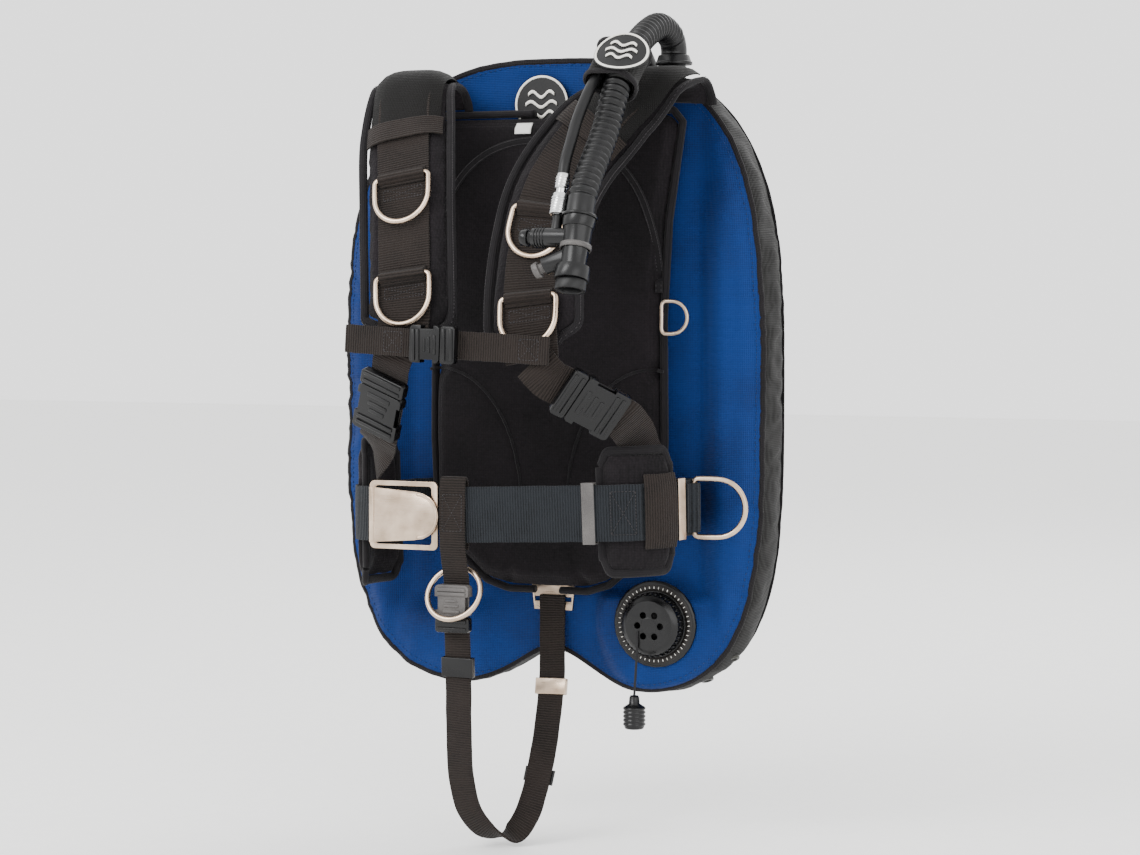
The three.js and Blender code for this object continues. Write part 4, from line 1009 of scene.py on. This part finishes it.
# Polyester webbing: cross ribs of 1.2 mm drawn 2.3 mm apart, faded brown-black on their crests, with
# a tight selvedge along both edges.
def ribbed_webbing(name, dark, light, rib):
    material, tree, shader, coords = material_of(
        name, 0.82, Sheen_Weight=0.05, Sheen_Roughness=0.45, Specular_IOR_Level=0.14
    )
    uv = coords.outputs["UV"]
    rib_wave = {"Scale": one_band / rib, "Distortion": 1.2, "Detail": 2.0, "Detail Scale": 1.5}
    thread_wave = {"Scale": one_band / (rib * 0.6), "Distortion": 0.8}
    ribs = add(tree, "TexWave", {"bands_direction": "Y", **rib_wave}, {"Vector": uv})
    threads = add(tree, "TexWave", {"bands_direction": "X", **thread_wave}, {"Vector": uv})
    place = coords.outputs["Object"]
    broad = add(tree, "TexNoise", {"Scale": 26.0, "Detail": 6.0, "Roughness": 0.65}, {"Vector": place})
    lint = add(tree, "TexNoise", {"Scale": 500.0, "Detail": 3.0}, {"Vector": place})
    weave = add(tree, "Math", {**weighed, 1: 0.35}, {0: threads.outputs["Fac"], 2: ribs.outputs["Fac"]})
    worn = add(tree, "Math", {**weighed, 1: 0.42}, {0: weave.outputs[0], 2: broad.outputs["Fac"]})
    shade = add(tree, "Math", {**weighed, 1: 0.35}, {0: lint.outputs["Fac"], 2: worn.outputs[0]})
    height = add(tree, "Math", {**weighed, 1: 0.4}, {0: lint.outputs["Fac"], 2: weave.outputs[0]})
    bump = add(tree, "Bump", {"Strength": 0.8, "Distance": 0.0008}, {"Height": height.outputs[0]})
    gloss = add(tree, "MapRange", {"To Min": 0.85, "To Max": 0.68}, {"Value": ribs.outputs["Fac"]})
    finish_material(tree, shader, shade.outputs[0], (0.55, dark), (1, light), gloss, bump)
    return material


harness_webbing = ribbed_webbing("woven_polyester_webbing", "#090807", "#231d1a", 0.0023)
web_thick = 0.0022


def webbed(name, made, *nodes, material=harness_webbing, slot="webbing", wall=web_thick):
    """Piece of webbing from its middle surface."""
    return piece(name, made, material, "vest", slot, *nodes, wall=wall, rounding=0.0006)


def nearest_frames(at, across, count=240):
    """Frames along a strap, each with its place on it."""
    return [(i / count, *strap_frame(at, across, i / count)) for i in range(count + 1)]


def shaped_on_strap(pad, frames, half_at, span, limit, lift=0.0, edge_share=0.42):
    """Thins a pad's edges to the binding and keeps its faces within limit of its middle."""
    centres = [(u, place + out * lift, side, out, way) for u, place, side, out, way in frames]
    for vertex in pad.data.vertices:
        u, centre, side, out, way = min(centres, key=lambda entry: (vertex.co - entry[1]).length_squared)
        away = vertex.co - centre
        over, high, along = away.dot(side), away.dot(out), away.dot(way)
        from_edge = min(half_at((u - span[0]) / (span[1] - span[0])) - abs(over), (span[1] - u) * 0.52)
        thin = edge_share + (1 - edge_share) * smoothstep(from_edge, 0.003, 0.015)
        quilt = 0.0004 * noise.noise(vertex.co * 45)
        high = min(max(high * thin + quilt, -limit), limit)
        vertex.co = centre + side * over + out * high + way * along


def thinner(at, across, share, lift=0.0):
    """Start of a strap's pad: thinned to a share of its thickness, to leave room for its swelling."""
    frames = nearest_frames(at, across, 120)

    def start(made):
        for vertex in made.verts:
            _, place, side, out, way = min(frames, key=lambda entry: (vertex.co - entry[1]).length_squared)
            high = (vertex.co - place).dot(out) - lift
            over = (vertex.co - place).dot(side)
            vertex.co += out * (high * (share - 1)) - side * (over * 0.02)

    return start


def edge_binding(at, across, outline, lift):
    """Line of a bound edge: outline(v) gives the place along the strap and the distance across it."""

    def line(v):
        u, over = outline(v)
        spot = on_strap(at, across, u, over, lift)
        ahead = on_strap(at, across, *outline(min(v + 0.004, 1)), lift)
        behind = on_strap(at, across, *outline(max(v - 0.004, 0)), lift)
        run = (ahead - behind).normalized()
        out = strap_frame(at, across, u)[2]
        side = run.cross(out).normalized()
        return spot - side * 0.0012, side, out

    return line


shoulder_routes = {
    "left": route(
        (120, -19, 213), (120, -19.5, 220), (119, -27, 231), (111, -48, 230), (88, -70, 206), (59, -87, 172),
        (40, -102, 135), (34, -116, 95), (34, -131, 52), (39, -144, 12), (44, -151, -16),
    ),
    "right": route(
        (-120, -19, 213), (-120, -19.5, 220), (-120.5, -29, 233), (-120, -54, 233), (-112, -84, 190),
        (-101, -108, 145), (-93, -124, 100), (-86, -137, 56), (-82, -146, 20), (-86, -151, -8),
    ),
}
upper_bar = {"left": 0.585, "right": 0.49}
lower_bar = {"left": 0.83, "right": 0.785}
pad_end = 54 / 57
web_start = 8 / 57
web_lift = 0.0079


def pad_half(v):
    """Half width of a shoulder pad: narrower over the shoulder and at its rounded foot."""
    over_shoulder = 0.006 * math.exp(-(((v - 0.12) / 0.14) ** 2))
    foot = 0.020 * math.exp(-(((v - 1) / 0.025) ** 2))
    return 0.042 - over_shoulder - foot


def pad_outline_place(v):
    """Down one edge, across the foot and up the other; returns the place and the distance across."""
    if v < 0.47:
        share = v / 0.47
        return pad_end * share, pad_half(share)
    if v > 0.53:
        share = (1 - v) / 0.47
        return pad_end * share, -pad_half(share)
    turn = (v - 0.47) / 0.06 * math.pi
    return pad_end + 0.004 * math.sin(turn), pad_half(1) * math.cos(turn)


def box_stitches(at, across, start, end, half, lift, pitch=0.0030):
    """Box with a cross, sewn through a strap's end."""
    corners = [(start, -half), (end, -half), (end, half), (start, half), (start, -half), (end, half)]
    corners += [(end, -half), (start, half)]
    for (u, over), (next_u, next_over) in zip(corners, corners[1:]):
        length = math.hypot((next_u - u) * at.length, next_over - over)
        count = max(2, round(length / pitch))
        for i in range(count):
            share = (i + 0.5) / count
            spot_u, spot_over = u + (next_u - u) * share, over + (next_over - over) * share
            spot = on_strap(at, across, spot_u, spot_over, lift)
            _, side, out, way = strap_frame(at, across, spot_u)
            run = (way * ((next_u - u) * at.length) + side * (next_over - over)).normalized()
            yield spot, run, out


def arch_lift(base):
    """Height of an arch's middle surface: sewn down at both ends, over a 5 mm bar between them."""
    sewn, high = base + 0.0023, base + 0.0080

    def lift(v):
        return sewn + (high - sewn) * smoothstep(min(v, 1 - v), 0.12, 0.42)

    return lift


for side, at in shoulder_routes.items():
    frames = nearest_frames(at, across_body)
    start = thinner(at, across_body, 0.86)
    pad = swollen(f"{side}_shoulder_cover", f"{side}_shoulder_pad", 0.0042, start, 0.004)
    shaped_on_strap(pad, frames, pad_half, (0, pad_end), 0.0062)
    finished_pad(pad, air_mesh, "vest", f"{side}_shoulder_pad")
    binding = edge_binding(at, across_body, pad_outline_place, 0.0)
    bound_seam(f"{side}_shoulder_binding", binding, 420, 0.0086, 0.0062, False, binding_tape, "pad_fabric")
    places = []
    for index in range(250):
        v = (index + 0.5) / 250
        spot, out_of_pad, up = binding(v)
        run = (binding(min(v + 0.002, 1))[0] - spot).normalized()
        places.append((spot - out_of_pad * 0.0026 + up * 0.0026, run, up))
    stitched(f"{side}_shoulder_edge_stitches", places, 0.0030, 0.0008, "pad_fabric")

    def crest(v):
        return web_lift + 0.0032 * math.exp(-(((v - 0.1) / 0.16) ** 2))

    web = strap_sheet(at, across_body, 0.050, crest, web_start, 1.0, 220)
    webbed(f"{side}_shoulder_web", web, f"{side}_shoulder_webbing")
    for level, bar in (("upper", upper_bar[side]), ("lower", lower_bar[side])):
        arch = strap_sheet(at, across_body, 0.044, arch_lift(web_lift), bar - 0.022, bar + 0.022, 30)
        webbed(f"{side}_{level}_arch", arch)
        foot = list(box_stitches(at, across_body, bar + 0.030, bar + 0.062, 0.019, web_lift + 0.0012))
        stitched(f"{side}_{level}_arch_stitches", foot, 0.0026, 0.0009, "webbing")
    band_start = 0.30

    def over_crest(v):
        return crest(0.06 + 0.26 * v) + 0.0042

    cover = strap_sheet(at, across_body, 0.068, over_crest, 0.06, 0.32, 60, 0.0092)
    piece(
        f"{side}_shoulder_crest_cloth", cover, black_nylon, "vest", "black_fabric",
        wall=0.0012, rounding=0.0004,
    )
    band = strap_sheet(at, across_body, 0.074, web_lift + 0.0056, band_start, band_start + 0.066, 20, 0.0085)
    piece(
        f"{side}_shoulder_cross_band", band, harness_webbing, "vest", "webbing",
        wall=0.0014, rounding=0.0005,
    )


# ---- D rings ----------------------------------------------------------------------------------
# Bent from 5 mm stainless wire and welded shut: each turns on its straight bar, under an arch.
def ring_line(origin, right, up, width, height, wire):
    """Centre line of a D ring: its bar through origin along right, its bow below it."""
    half, corner = width / 2 - wire / 2, 0.0042
    drop = height - wire - half
    bends = [
        (half - corner + corner * math.sin(a), -corner + corner * math.cos(a)) for a in (0.4, 0.8, 1.2, 1.57)
    ]
    bow = [(half * math.cos(i / 14 * math.pi), -drop - half * math.sin(i / 14 * math.pi)) for i in range(15)]
    points = [(0, 0), (half - corner, 0), *bends, *bow]
    points += [(-x, y) for x, y in reversed(bends)] + [(-half + corner, 0), (0, 0)]
    line = [origin + right * x + up * y for x, y in points]
    return route(*[point * 1000 for point in line])


strap_ring, hip_ring, small_ring = (0.057, 0.050, 0.005), (0.057, 0.052, 0.005), (0.033, 0.028, 0.0036)
for stem, origin, right, up, size in (
    ("left_upper", (35.937, -120.02, 119.913), (0.992, -0.041, -0.118), (0.124, 0.323, 0.938), strap_ring),
    ("left_lower", (35.26, -146.899, 42.113), (0.994, 0.035, 0.104), (-0.11, 0.317, 0.942), strap_ring),
    ("right_upper", (-101.038, -118.806, 149.989), (0.982, 0.076, 0.173), (-0.189, 0.397, 0.898), strap_ring),
    ("right_lower", (-86.239, -147.999, 60.893), (0.991, 0.035, 0.127), (-0.132, 0.262, 0.956), strap_ring),
    ("hip", (157.162, -55.824, -145.885), (0.002, 0.015, -1), (-0.998, -0.057, -0.003), hip_ring),
    ("side", (117, -32.3, 23), (0, 0, 1), (-1, 0, 0), small_ring),
):
    right, up = Vector(right), Vector(up)
    wire = size[2]
    at = ring_line(mm(*origin), right.normalized(), up.normalized(), *size)
    bent_wire = tube(at, wire / 2, 16, 150, right.cross(up).normalized())
    bmesh.ops.remove_doubles(bent_wire, verts=bent_wire.verts, dist=5e-5)
    piece(f"{stem}_d_ring", bent_wire, satin_steel, f"{stem}_ring_body", "steel", f"{stem}_ring")


# ---- Side straps and their release buckles ----------------------------------------------------
# 38 mm webbing from the foot of each shoulder strap to the belt, with an acetal side-release
# buckle: two sprung prongs with side buttons snap into the socket.
side_routes = {
    "left": route(
        (47, -162.3, -14.5), (53, -163.4, -20.5), (60.2, -157.4, -29.9), (70, -149, -36.5), (84, -137, -46),
        (105, -119, -60.3), (111, -113, -65), (114, -92, -79), (116, -64, -104),
    ),
    "right": route(
        (-85.5, -159.9, 4), (-87, -161.6, -6), (-91, -161.5, -16), (-96.5, -154.5, -30),
        (-101.6, -149.4, -43.2), (-114.5, -136.5, -76.3), (-117.5, -133.5, -84), (-128, -117, -95),
        (-140, -95, -112),
    ),
}
side_turns = {
    "left": (Vector((0.768, 0.156, 0.621)), Vector((0.56, -0.1, 0.83)), Vector((0.41, 0.47, 0.77))),
    "right": (Vector((0.984, -0.025, -0.138)), Vector((0.9, -0.05, -0.38)), Vector((0.34, -0.46, -0.81))),
}


def turning(root, middle, end):
    """Width direction of a strap that twists near both of its ends."""
    return lambda u: root.lerp(middle, smoothstep(u, 0.04, 0.16)).lerp(end, smoothstep(u, 0.72, 1))


for side, at in side_routes.items():
    strap = strap_sheet(at, turning(*side_turns[side]), 0.038, 0, 0, 1, 150)
    webbed(f"{side}_side_web", strap, f"{side}_side_strap")


def buckle(prefix, node, clip_body, origin, right, up, web, socket=(black_abs, "plastic")):
    """Side-release buckle: both halves rounded, with raised ladder bars and ribs on its faces."""
    socket_material, socket_slot = socket
    copied(f"{prefix}_socket_half", f"{node}_socket", socket_material, "vest", socket_slot, 0.0009)
    copied(f"{prefix}_clip_half", f"{node}_clip", black_abs, clip_body, "plastic", 0.0009)
    origin, right, up = mm(*origin), Vector(right).normalized(), Vector(up).normalized()
    out = right.cross(up).normalized()
    turn = Matrix((right, up, out)).transposed().to_4x4()
    width, length = web + 0.008, web * 1.15

    def bar(made, wide, long, high, y, z):
        block = bmesh.ops.create_cube(made, size=1)["verts"]
        bmesh.ops.scale(made, vec=(wide, long, high), verts=block)
        edges = list({e for v in block for e in v.link_edges})
        grown = bmesh.ops.bevel(
            made, geom=edges, offset=0.0007, offset_type="OFFSET", segments=2, profile=0.5, affect="EDGES",
            material=-1,
        )["verts"]
        whole = list({v for v in grown} | {v for v in block if v.is_valid})
        moved = Matrix.Translation(origin) @ turn @ Matrix.Translation((0, y, z))
        bmesh.ops.transform(made, matrix=moved, verts=whole)

    bars = bmesh.new()
    for wide, long, high, y, z in (
        (0.52 * width, 0.10 * length, 0.0016, -0.16 * length, 0.0052),
        (0.44 * width, 0.08 * length, 0.0016, -0.34 * length, 0.0052),
        (0.36 * width, 0.08 * length, 0.0016, -0.50 * length, 0.0052),
        (0.84 * width, 0.0034, 0.0030, -0.86 * length, 0.0050),
        (0.84 * width, 0.0034, 0.0030, -0.72 * length, 0.0050),
    ):
        bar(bars, wide, long, high, y, z)
    piece(f"{prefix}_socket_bars", bars, socket_material, "vest", socket_slot)
    ladder = bmesh.new()
    for y in (0.0042, 0.0112):
        bar(ladder, width * 0.86, 0.0032, 0.0028, y, 0.0045)
    piece(f"{prefix}_clip_bars", ladder, black_abs, clip_body, "plastic")


buckle(
    "left_side_buckle", "left_release", "left_clip", (80.961, -147.654, -44.587),
    (0.598, -0.065, 0.799), (-0.675, -0.578, 0.458), 0.038,
)
buckle(
    "right_side_buckle", "right_release", "right_clip", (-101.388, -157.167, -41.555),
    (0.924, -0.055, -0.377), (0.34, -0.327, 0.882), 0.038,
)


# ---- Chest strap ------------------------------------------------------------------------------
# 25 mm webbing across the chest, sewn to both side straps through folded tabs, with a small
# side-release buckle in its middle.
chest_route = route((-133, -168, 5), (-80, -170, 2), (10, -170, -2), (64, -168, -5))
upward = Vector((0, 0, 1))
for side, start, end in (("right", 0.0, 0.5), ("left", 0.53, 1.0)):
    strap = strap_sheet(chest_route, upward, 0.025, 0, start, end, 80)
    webbed(f"{side}_chest_web", strap, f"{side}_chest_strap")


def sewn_tab(name, low, high):
    """Folded tab of webbing between the straps."""
    middle, size = (mm(*low) + mm(*high)) / 2, mm(*high) - mm(*low)

    def place(u, v):
        turn = u * math.tau
        bulge = abs(math.sin(turn)) ** 0.7 * math.copysign(1, math.sin(turn))
        spread = abs(math.cos(turn)) ** 0.4 * math.copysign(1, math.cos(turn))
        return middle + Vector((size.x * (v - 0.5), size.y / 2 * bulge, size.z / 2 * spread))

    piece(name, laid(24, 12, place, (0.04, 0.024), close=True, cap=True), harness_webbing, "vest", "webbing")


sewn_tab("right_chest_tab", (-99, -169.5, -7), (-75, -163.1, 7))
sewn_tab("left_chest_tab", (32, -169, -15.5), (56, -164.6, -6.5))
for side, start, end in (("right", 0.2, 0.29), ("left", 0.86, 0.95)):
    seam = list(box_stitches(chest_route, upward, start, end, 0.009, 0.0012))
    stitched(f"{side}_chest_stitches", seam, 0.0024, 0.0008, "webbing")
buckle("chest_buckle", "chest", "chest_clip_body", (-34.5, -177.2, 0), (0, 0, -1), (1, 0, 0), 0.025)


# ---- Waist belt and hip pads ------------------------------------------------------------------
# 50 mm weight-belt webbing, slate grey-blue, from slots in the backplate round both sides. Its left
# half runs on as a doubled tail to the lever buckle. Bound mesh pads sit inside it on both hips.
belt_webbing = ribbed_webbing("woven_slate_belt_webbing", "#090a0c", "#1d2024", 0.0025)
belt_routes = {
    "left": route(
        (80, -6.05, -150), (101, -6.35, -149.5), (121, -6.75, -149), (140, -16, -148), (152, -36, -146),
        (152, -62, -146), (138, -89, -147), (112, -108, -148), (60, -114, -150), (-40, -116, -154),
        (-63.8, -116, -155),
    ),
    "right": route(
        (-80, -6.05, -154), (-101, -6.35, -154.5), (-121, -6.75, -155), (-142, -17, -156), (-160, -38, -157),
        (-167, -72, -157), (-157, -99, -157), (-131, -113, -156), (-112, -116, -156),
    ),
}
belt_across = {"left": Vector((0, 0, -1)), "right": Vector((0, 0, 1))}
hip_span = {"left": (0.365, 0.565), "right": (0.4, 0.76)}
hip_height = {"left": 0.106, "right": 0.128}
hip_lift = -0.0075


def hip_half(side):
    """Half width of a hip pad along the belt, with rounded corners."""

    def half(v):
        corners = 0.026 * (math.exp(-((v / 0.06) ** 2)) + math.exp(-(((1 - v) / 0.06) ** 2)))
        return (hip_height[side] - corners) / 2

    return half


for side, at in belt_routes.items():
    across = belt_across[side]
    belt = strap_sheet(at, across, 0.050, 0, 0, 1, 260)
    webbed(f"{side}_belt_web", belt, f"{side}_waist_webbing", material=belt_webbing, slot="belt_webbing")
    span, half = hip_span[side], hip_half(side)
    frames = nearest_frames(at, across, 300)
    pad = swollen(f"{side}_hip_cover", f"{side}_hip_pad", 0.0045, thinner(at, across, 0.86, hip_lift), 0.004)
    shaped_on_strap(pad, frames, half, span, 0.0058, hip_lift)
    finished_pad(pad, air_mesh, "vest", f"{side}_hip_pad")

    def hip_outline(v, half=half, span=span):
        """Round the pad's edge, from the middle of its first end."""
        turn = (v + 0.5) % 1 * 4
        leg, share = int(turn), turn - int(turn)
        width = span[1] - span[0]
        if leg == 0:
            return span[0] + width * share, half(share)
        if leg == 1:
            return span[1], half(1) * (1 - 2 * share)
        if leg == 2:
            return span[1] - width * share, -half(1 - share)
        return span[0], -half(0) * (1 - 2 * share)

    binding = edge_binding(at, across, hip_outline, hip_lift)
    bound_seam(f"{side}_hip_binding", binding, 300, 0.0082, 0.0062, False, binding_tape, "pad_fabric")

left_belt, left_across = belt_routes["left"], belt_across["left"]
tail = strap_sheet(left_belt, left_across, 0.050, 0.0023, 0.46, 1.0, 160)
webbed("belt_tail_web", tail, material=belt_webbing, slot="belt_webbing")
hip_arch = strap_sheet(left_belt, left_across, 0.044, arch_lift(0), 0.272, 0.328, 30)
webbed("hip_ring_arch", hip_arch, material=belt_webbing, slot="belt_webbing")
sleeve = strap_sheet(left_belt, left_across, 0.066, 0.0026, 0.362, 0.452, 40, 0.0030)
webbed("left_hip_sleeve", sleeve, wall=0.0020)
tail_seam = list(box_stitches(left_belt, left_across, 0.475, 0.535, 0.019, 0.0036))
stitched("belt_tail_stitches", tail_seam, 0.0026, 0.0009, "belt_webbing")

# Lever buckle of stainless sheet: a flat frame with a rolled hinge, and a lever that clamps the
# webbing. Its rim is bent up for the thumb.
copied("belt_buckle_plate", "belt_buckle_frame", satin_steel, "vest", "steel", 0.0009)
copied("belt_lever_plate", "belt_buckle_lever", satin_steel, "buckle_lever", "steel", 0.0006)
lever_hinge = mm(-129.5, -123.6, -156)


def lever_rim(v):
    """Raised rim round the lever's free end."""
    angle = (v - 0.5) * math.pi * 0.98
    place = lever_hinge + Vector((0.0449 + 0.0195 * math.cos(angle), -0.0014, 0.0195 * math.sin(angle)))
    return place, Vector((math.cos(angle), 0, math.sin(angle))), Vector((0, -1, 0))


bound_seam("belt_lever_rim", lever_rim, 48, 0.0024, 0.0016, False, satin_steel, "steel", "buckle_lever")
# The keeper is a moulded grey band, and a steel slide sets the hip ring's place.
copied("belt_keeper_band", "belt_keeper", grey_abs, "vest", "grey_plastic", 0.0007)
copied("hip_ring_slide_band", "hip_ring_slide", satin_steel, "vest", "steel", 0.0006)


# ---- Crotch strap -----------------------------------------------------------------------------
# 25 mm webbing looped over the belt, through a small buckle with a grey socket, between the legs
# and up to the backplate. Two slides shorten it, and a round steel ring hangs in front.
crotch_front = route(
    (-50, -113.2, -186), (-50, -113.2, -132), (-50, -114.2, -124), (-50, -117.3, -120.5), (-50, -120.4, -124),
    (-50, -121.3, -132), (-50, -121.3, -184), (-50, -116, -204), (-50, -113, -216), (-50, -113, -233),
)
crotch_rear = route(
    (-50, -113, -249), (-49, -112, -296), (-53, -102, -360), (-54, -95, -398), (-48, -88, -430),
    (-34, -78, -449), (-17, -67, -452), (-6, -58, -436), (2, -44, -394), (5, -24, -322), (1, -11.5, -266),
    (0, -8.8, -250), (0, -8.8, -236),
)
for word, at, steps in (("front", crotch_front, 120), ("rear", crotch_rear, 260)):
    strap = strap_sheet(at, across_body, 0.025, 0, 0, 1, steps)
    webbed(f"crotch_web_{word}", strap, f"crotch_strap_{word}")
seam = list(box_stitches(crotch_front, across_body, 0.46, 0.64, 0.0095, 0.0012))
stitched("crotch_front_stitches", seam, 0.0024, 0.0008, "webbing")
buckle(
    "crotch_buckle", "crotch_buckle", "crotch_clip", (-50, -119.8, -246), (-1, 0, 0), (0, 0, -1), 0.025,
    (grey_abs, "grey_plastic"),
)
copied("crotch_slide_moulded", "crotch_slide_front", black_abs, "vest", "plastic", 0.0008)
copied("crotch_slide_steel", "crotch_slide_rear", satin_steel, "vest", "steel", 0.0006)
ring_centre, ring_up = mm(-50, -118.7, -225), Vector((0, 0.485, 0.875))


def crotch_wire(u, v):
    """Place on the round ring: v runs along its wire and u round it."""
    turn, around = v * math.tau, u * math.tau
    outward = across_body * math.cos(turn) + ring_up * math.sin(turn)
    face = across_body.cross(ring_up)
    return ring_centre + outward * (0.0255 + 0.0025 * math.cos(around)) + face * (0.0025 * math.sin(around))


round_ring = laid(16, 96, crotch_wire, (0.016, 0.16), close=True)
piece("crotch_round_ring", round_ring, satin_steel, "crotch_ring_body", "steel", "crotch_ring")
rubber_keeper = strap_sheet(crotch_rear, across_body, 0.030, 0.0020, 0.62, 0.65, 12)
piece("crotch_rubber_keeper", rubber_keeper, hose_rubber, "vest", "rubber", wall=0.0014, rounding=0.0005)


# ---- Elbow and inflator -----------------------------------------------------------------------
# The elbow is moulded rubber, clamped in the wing's edge. The inflator's body is moulded ABS, with
# a button on its barrel to let air in, another on its arm to let it out, and a rubber mouthpiece.
copied("elbow_moulded", "hose_elbow", hose_rubber, "vest", "rubber", 0.0009)
copied("inflator_housing", "inflator_body", black_abs, "vest", "plastic", 0.0008)
copied("inflate_button_moulded", "inflate_button", black_abs, "inflate", "plastic", 0.0008)
copied("deflate_button_moulded", "deflate_button", grey_abs, "deflate", "grey_plastic", 0.0008)
copied("mouthpiece_moulded", "mouthpiece", hose_rubber, "vest", "rubber", 0.0009)
copied("coupling_sleeve_turned", "lp_coupling_sleeve", polished_chrome, "coupling_sleeve", "chrome", 0.0004)
copied("hose_ferrule_crimped", "lp_hose_ferrule", polished_chrome, "vest", "chrome", 0.0005)

head_turn = Matrix.Rotation(math.radians(-19), 4, "X")
head_place = Matrix.Translation(mm(105, -198, 111)) @ head_turn
head_up = (head_turn @ Vector((0, 0, 1))).normalized()


def on_head(x, y, z):
    """Place on the inflator, in millimetres from the middle of its upper rim."""
    return head_place @ mm(x, y, z)


# Clamp on the hose's cuff, a moulded collar below it, and finger ribs on the buttons and sleeve.
for name, section, material in (
    ("hose_clamp", [(14.6, -3.0), (15.4, -2.6), (15.4, -0.6), (14.6, -0.2)], black_abs),
    ("inflator_collar", [(12.3, -31), (13.6, -30.5), (13.6, -26.5), (12.3, -26)], grey_abs),
):
    band = turned(section + [section[0]], on_head(0, 0, 0), head_up, 64)
    piece(name, band, material, "vest", "plastic")
for name, start, way, radius, pitch, count, body, material, slot in (
    ("barrel_ribs", (-29, 0, -20), (-1, 0, 0), 8.4, 2.6, 4, "vest", black_abs, "plastic"),
    ("sleeve_grip", (-20, 0, 3), (0, 0, 1), 7.3, 2.4, 6, "coupling_sleeve", polished_chrome, "chrome"),
    ("ferrule_grooves", (-20, 0, 25.5), (0, 0, 1), 5.7, 2.6, 4, "vest", polished_chrome, "chrome"),
):
    axis = (head_turn @ Vector(way)).normalized()
    whole = bmesh.new()
    holder = bpy.data.meshes.new(name + "_turned")
    inner, outer = radius - 0.3, radius + 0.5
    for height in [pitch * i for i in range(count)]:
        section = [(inner, height - 0.8), (outer, height - 0.5), (outer, height + 0.5), (inner, height + 0.8)]
        one = turned(section + [section[0]], on_head(*start), axis, 40)
        one.to_mesh(holder)
        one.free()
        whole.from_mesh(holder)
    bpy.data.meshes.remove(holder)
    piece(name, whole, material, body, slot)


# ---- Hose wrap --------------------------------------------------------------------------------
# A flap of black nylon closed with hook-and-loop tape round both hoses, with a badge like the wing's.
wrap_centre = mm(108, -104, 241)
wrap_along = Vector((-1, -45, -43)).normalized()
to_hose = mm(-17, -8, 1)
to_hose -= wrap_along * to_hose.dot(wrap_along)
hose_gap = to_hose.length
wrap_side = -to_hose.normalized()
wrap_up = wrap_along.cross(wrap_side)
wrap_big, wrap_small = 0.0158, 0.0095
tangent = math.acos(-(wrap_big - wrap_small) / hose_gap)


def wrap_outline(u):
    """Point round both hoses, starting below the big one: an arc, a flat, the small arc and a flat."""
    big_arc, small_arc = 2 * tangent * wrap_big, 2 * (math.pi - tangent) * wrap_small
    flat = math.sqrt(hose_gap**2 - (wrap_big - wrap_small) ** 2)
    goal = u * (big_arc + small_arc + 2 * flat)
    if goal <= big_arc:
        angle = -tangent + goal / wrap_big
        return wrap_big * math.cos(angle), wrap_big * math.sin(angle)
    goal -= big_arc
    first = (wrap_big * math.cos(tangent), wrap_big * math.sin(tangent))
    second = (-hose_gap + wrap_small * math.cos(tangent), wrap_small * math.sin(tangent))
    if goal <= flat:
        share = goal / flat
        return first[0] + (second[0] - first[0]) * share, first[1] + (second[1] - first[1]) * share
    goal -= flat
    if goal <= small_arc:
        angle = tangent + goal / wrap_small
        return -hose_gap + wrap_small * math.cos(angle), wrap_small * math.sin(angle)
    share = min((goal - small_arc) / flat, 1)
    return second[0] + (first[0] - second[0]) * share, -second[1] - (first[1] - second[1]) * share


def wrap_point(u, v):
    """Place on the flap: u runs round both hoses and v along them; its ends flare a little."""
    x, y = wrap_outline(u)
    along = 0.046 * (v - 0.5)
    flare = 1 + 0.10 * (2 * v - 1) ** 4 + 0.04 * noise.noise(Vector((u * 9, v * 2, 6.0)))
    bend = -0.9 * along * along
    centre_x = -hose_gap / 2
    spot = Vector((centre_x + (x - centre_x) * flare, y * flare, along))
    return wrap_centre + wrap_side * spot.x + wrap_up * (spot.y + bend) + wrap_along * spot.z


flap = laid(96, 20, wrap_point, (0.11, 0.046), close=True)
piece(
    "hose_wrap_flap", flap, black_nylon, "vest", "black_fabric", "hose_wrap", wall=0.0018, rounding=0.0005
)
for word, v in (("upper", 0.03), ("lower", 0.97)):

    def hem(w, v=v):
        spot = wrap_point(w % 1, v)
        out = (spot - wrap_centre - wrap_along * (spot - wrap_centre).dot(wrap_along)).normalized()
        return spot, wrap_along, out

    bound_seam(f"hose_wrap_hem_{word}", hem, 110, 0.0070, 0.0034, True, binding_tape, "black_fabric")
badge_out = Vector((0.15, -0.68, 0.72)).normalized()
badge_right = (across_body - badge_out * across_body.dot(badge_out)).normalized()
badge_up = badge_out.cross(badge_right)
badge("wrap_badge", wrap_centre + badge_out * 0.0190, badge_right, badge_up, 0.0245, 0.004)
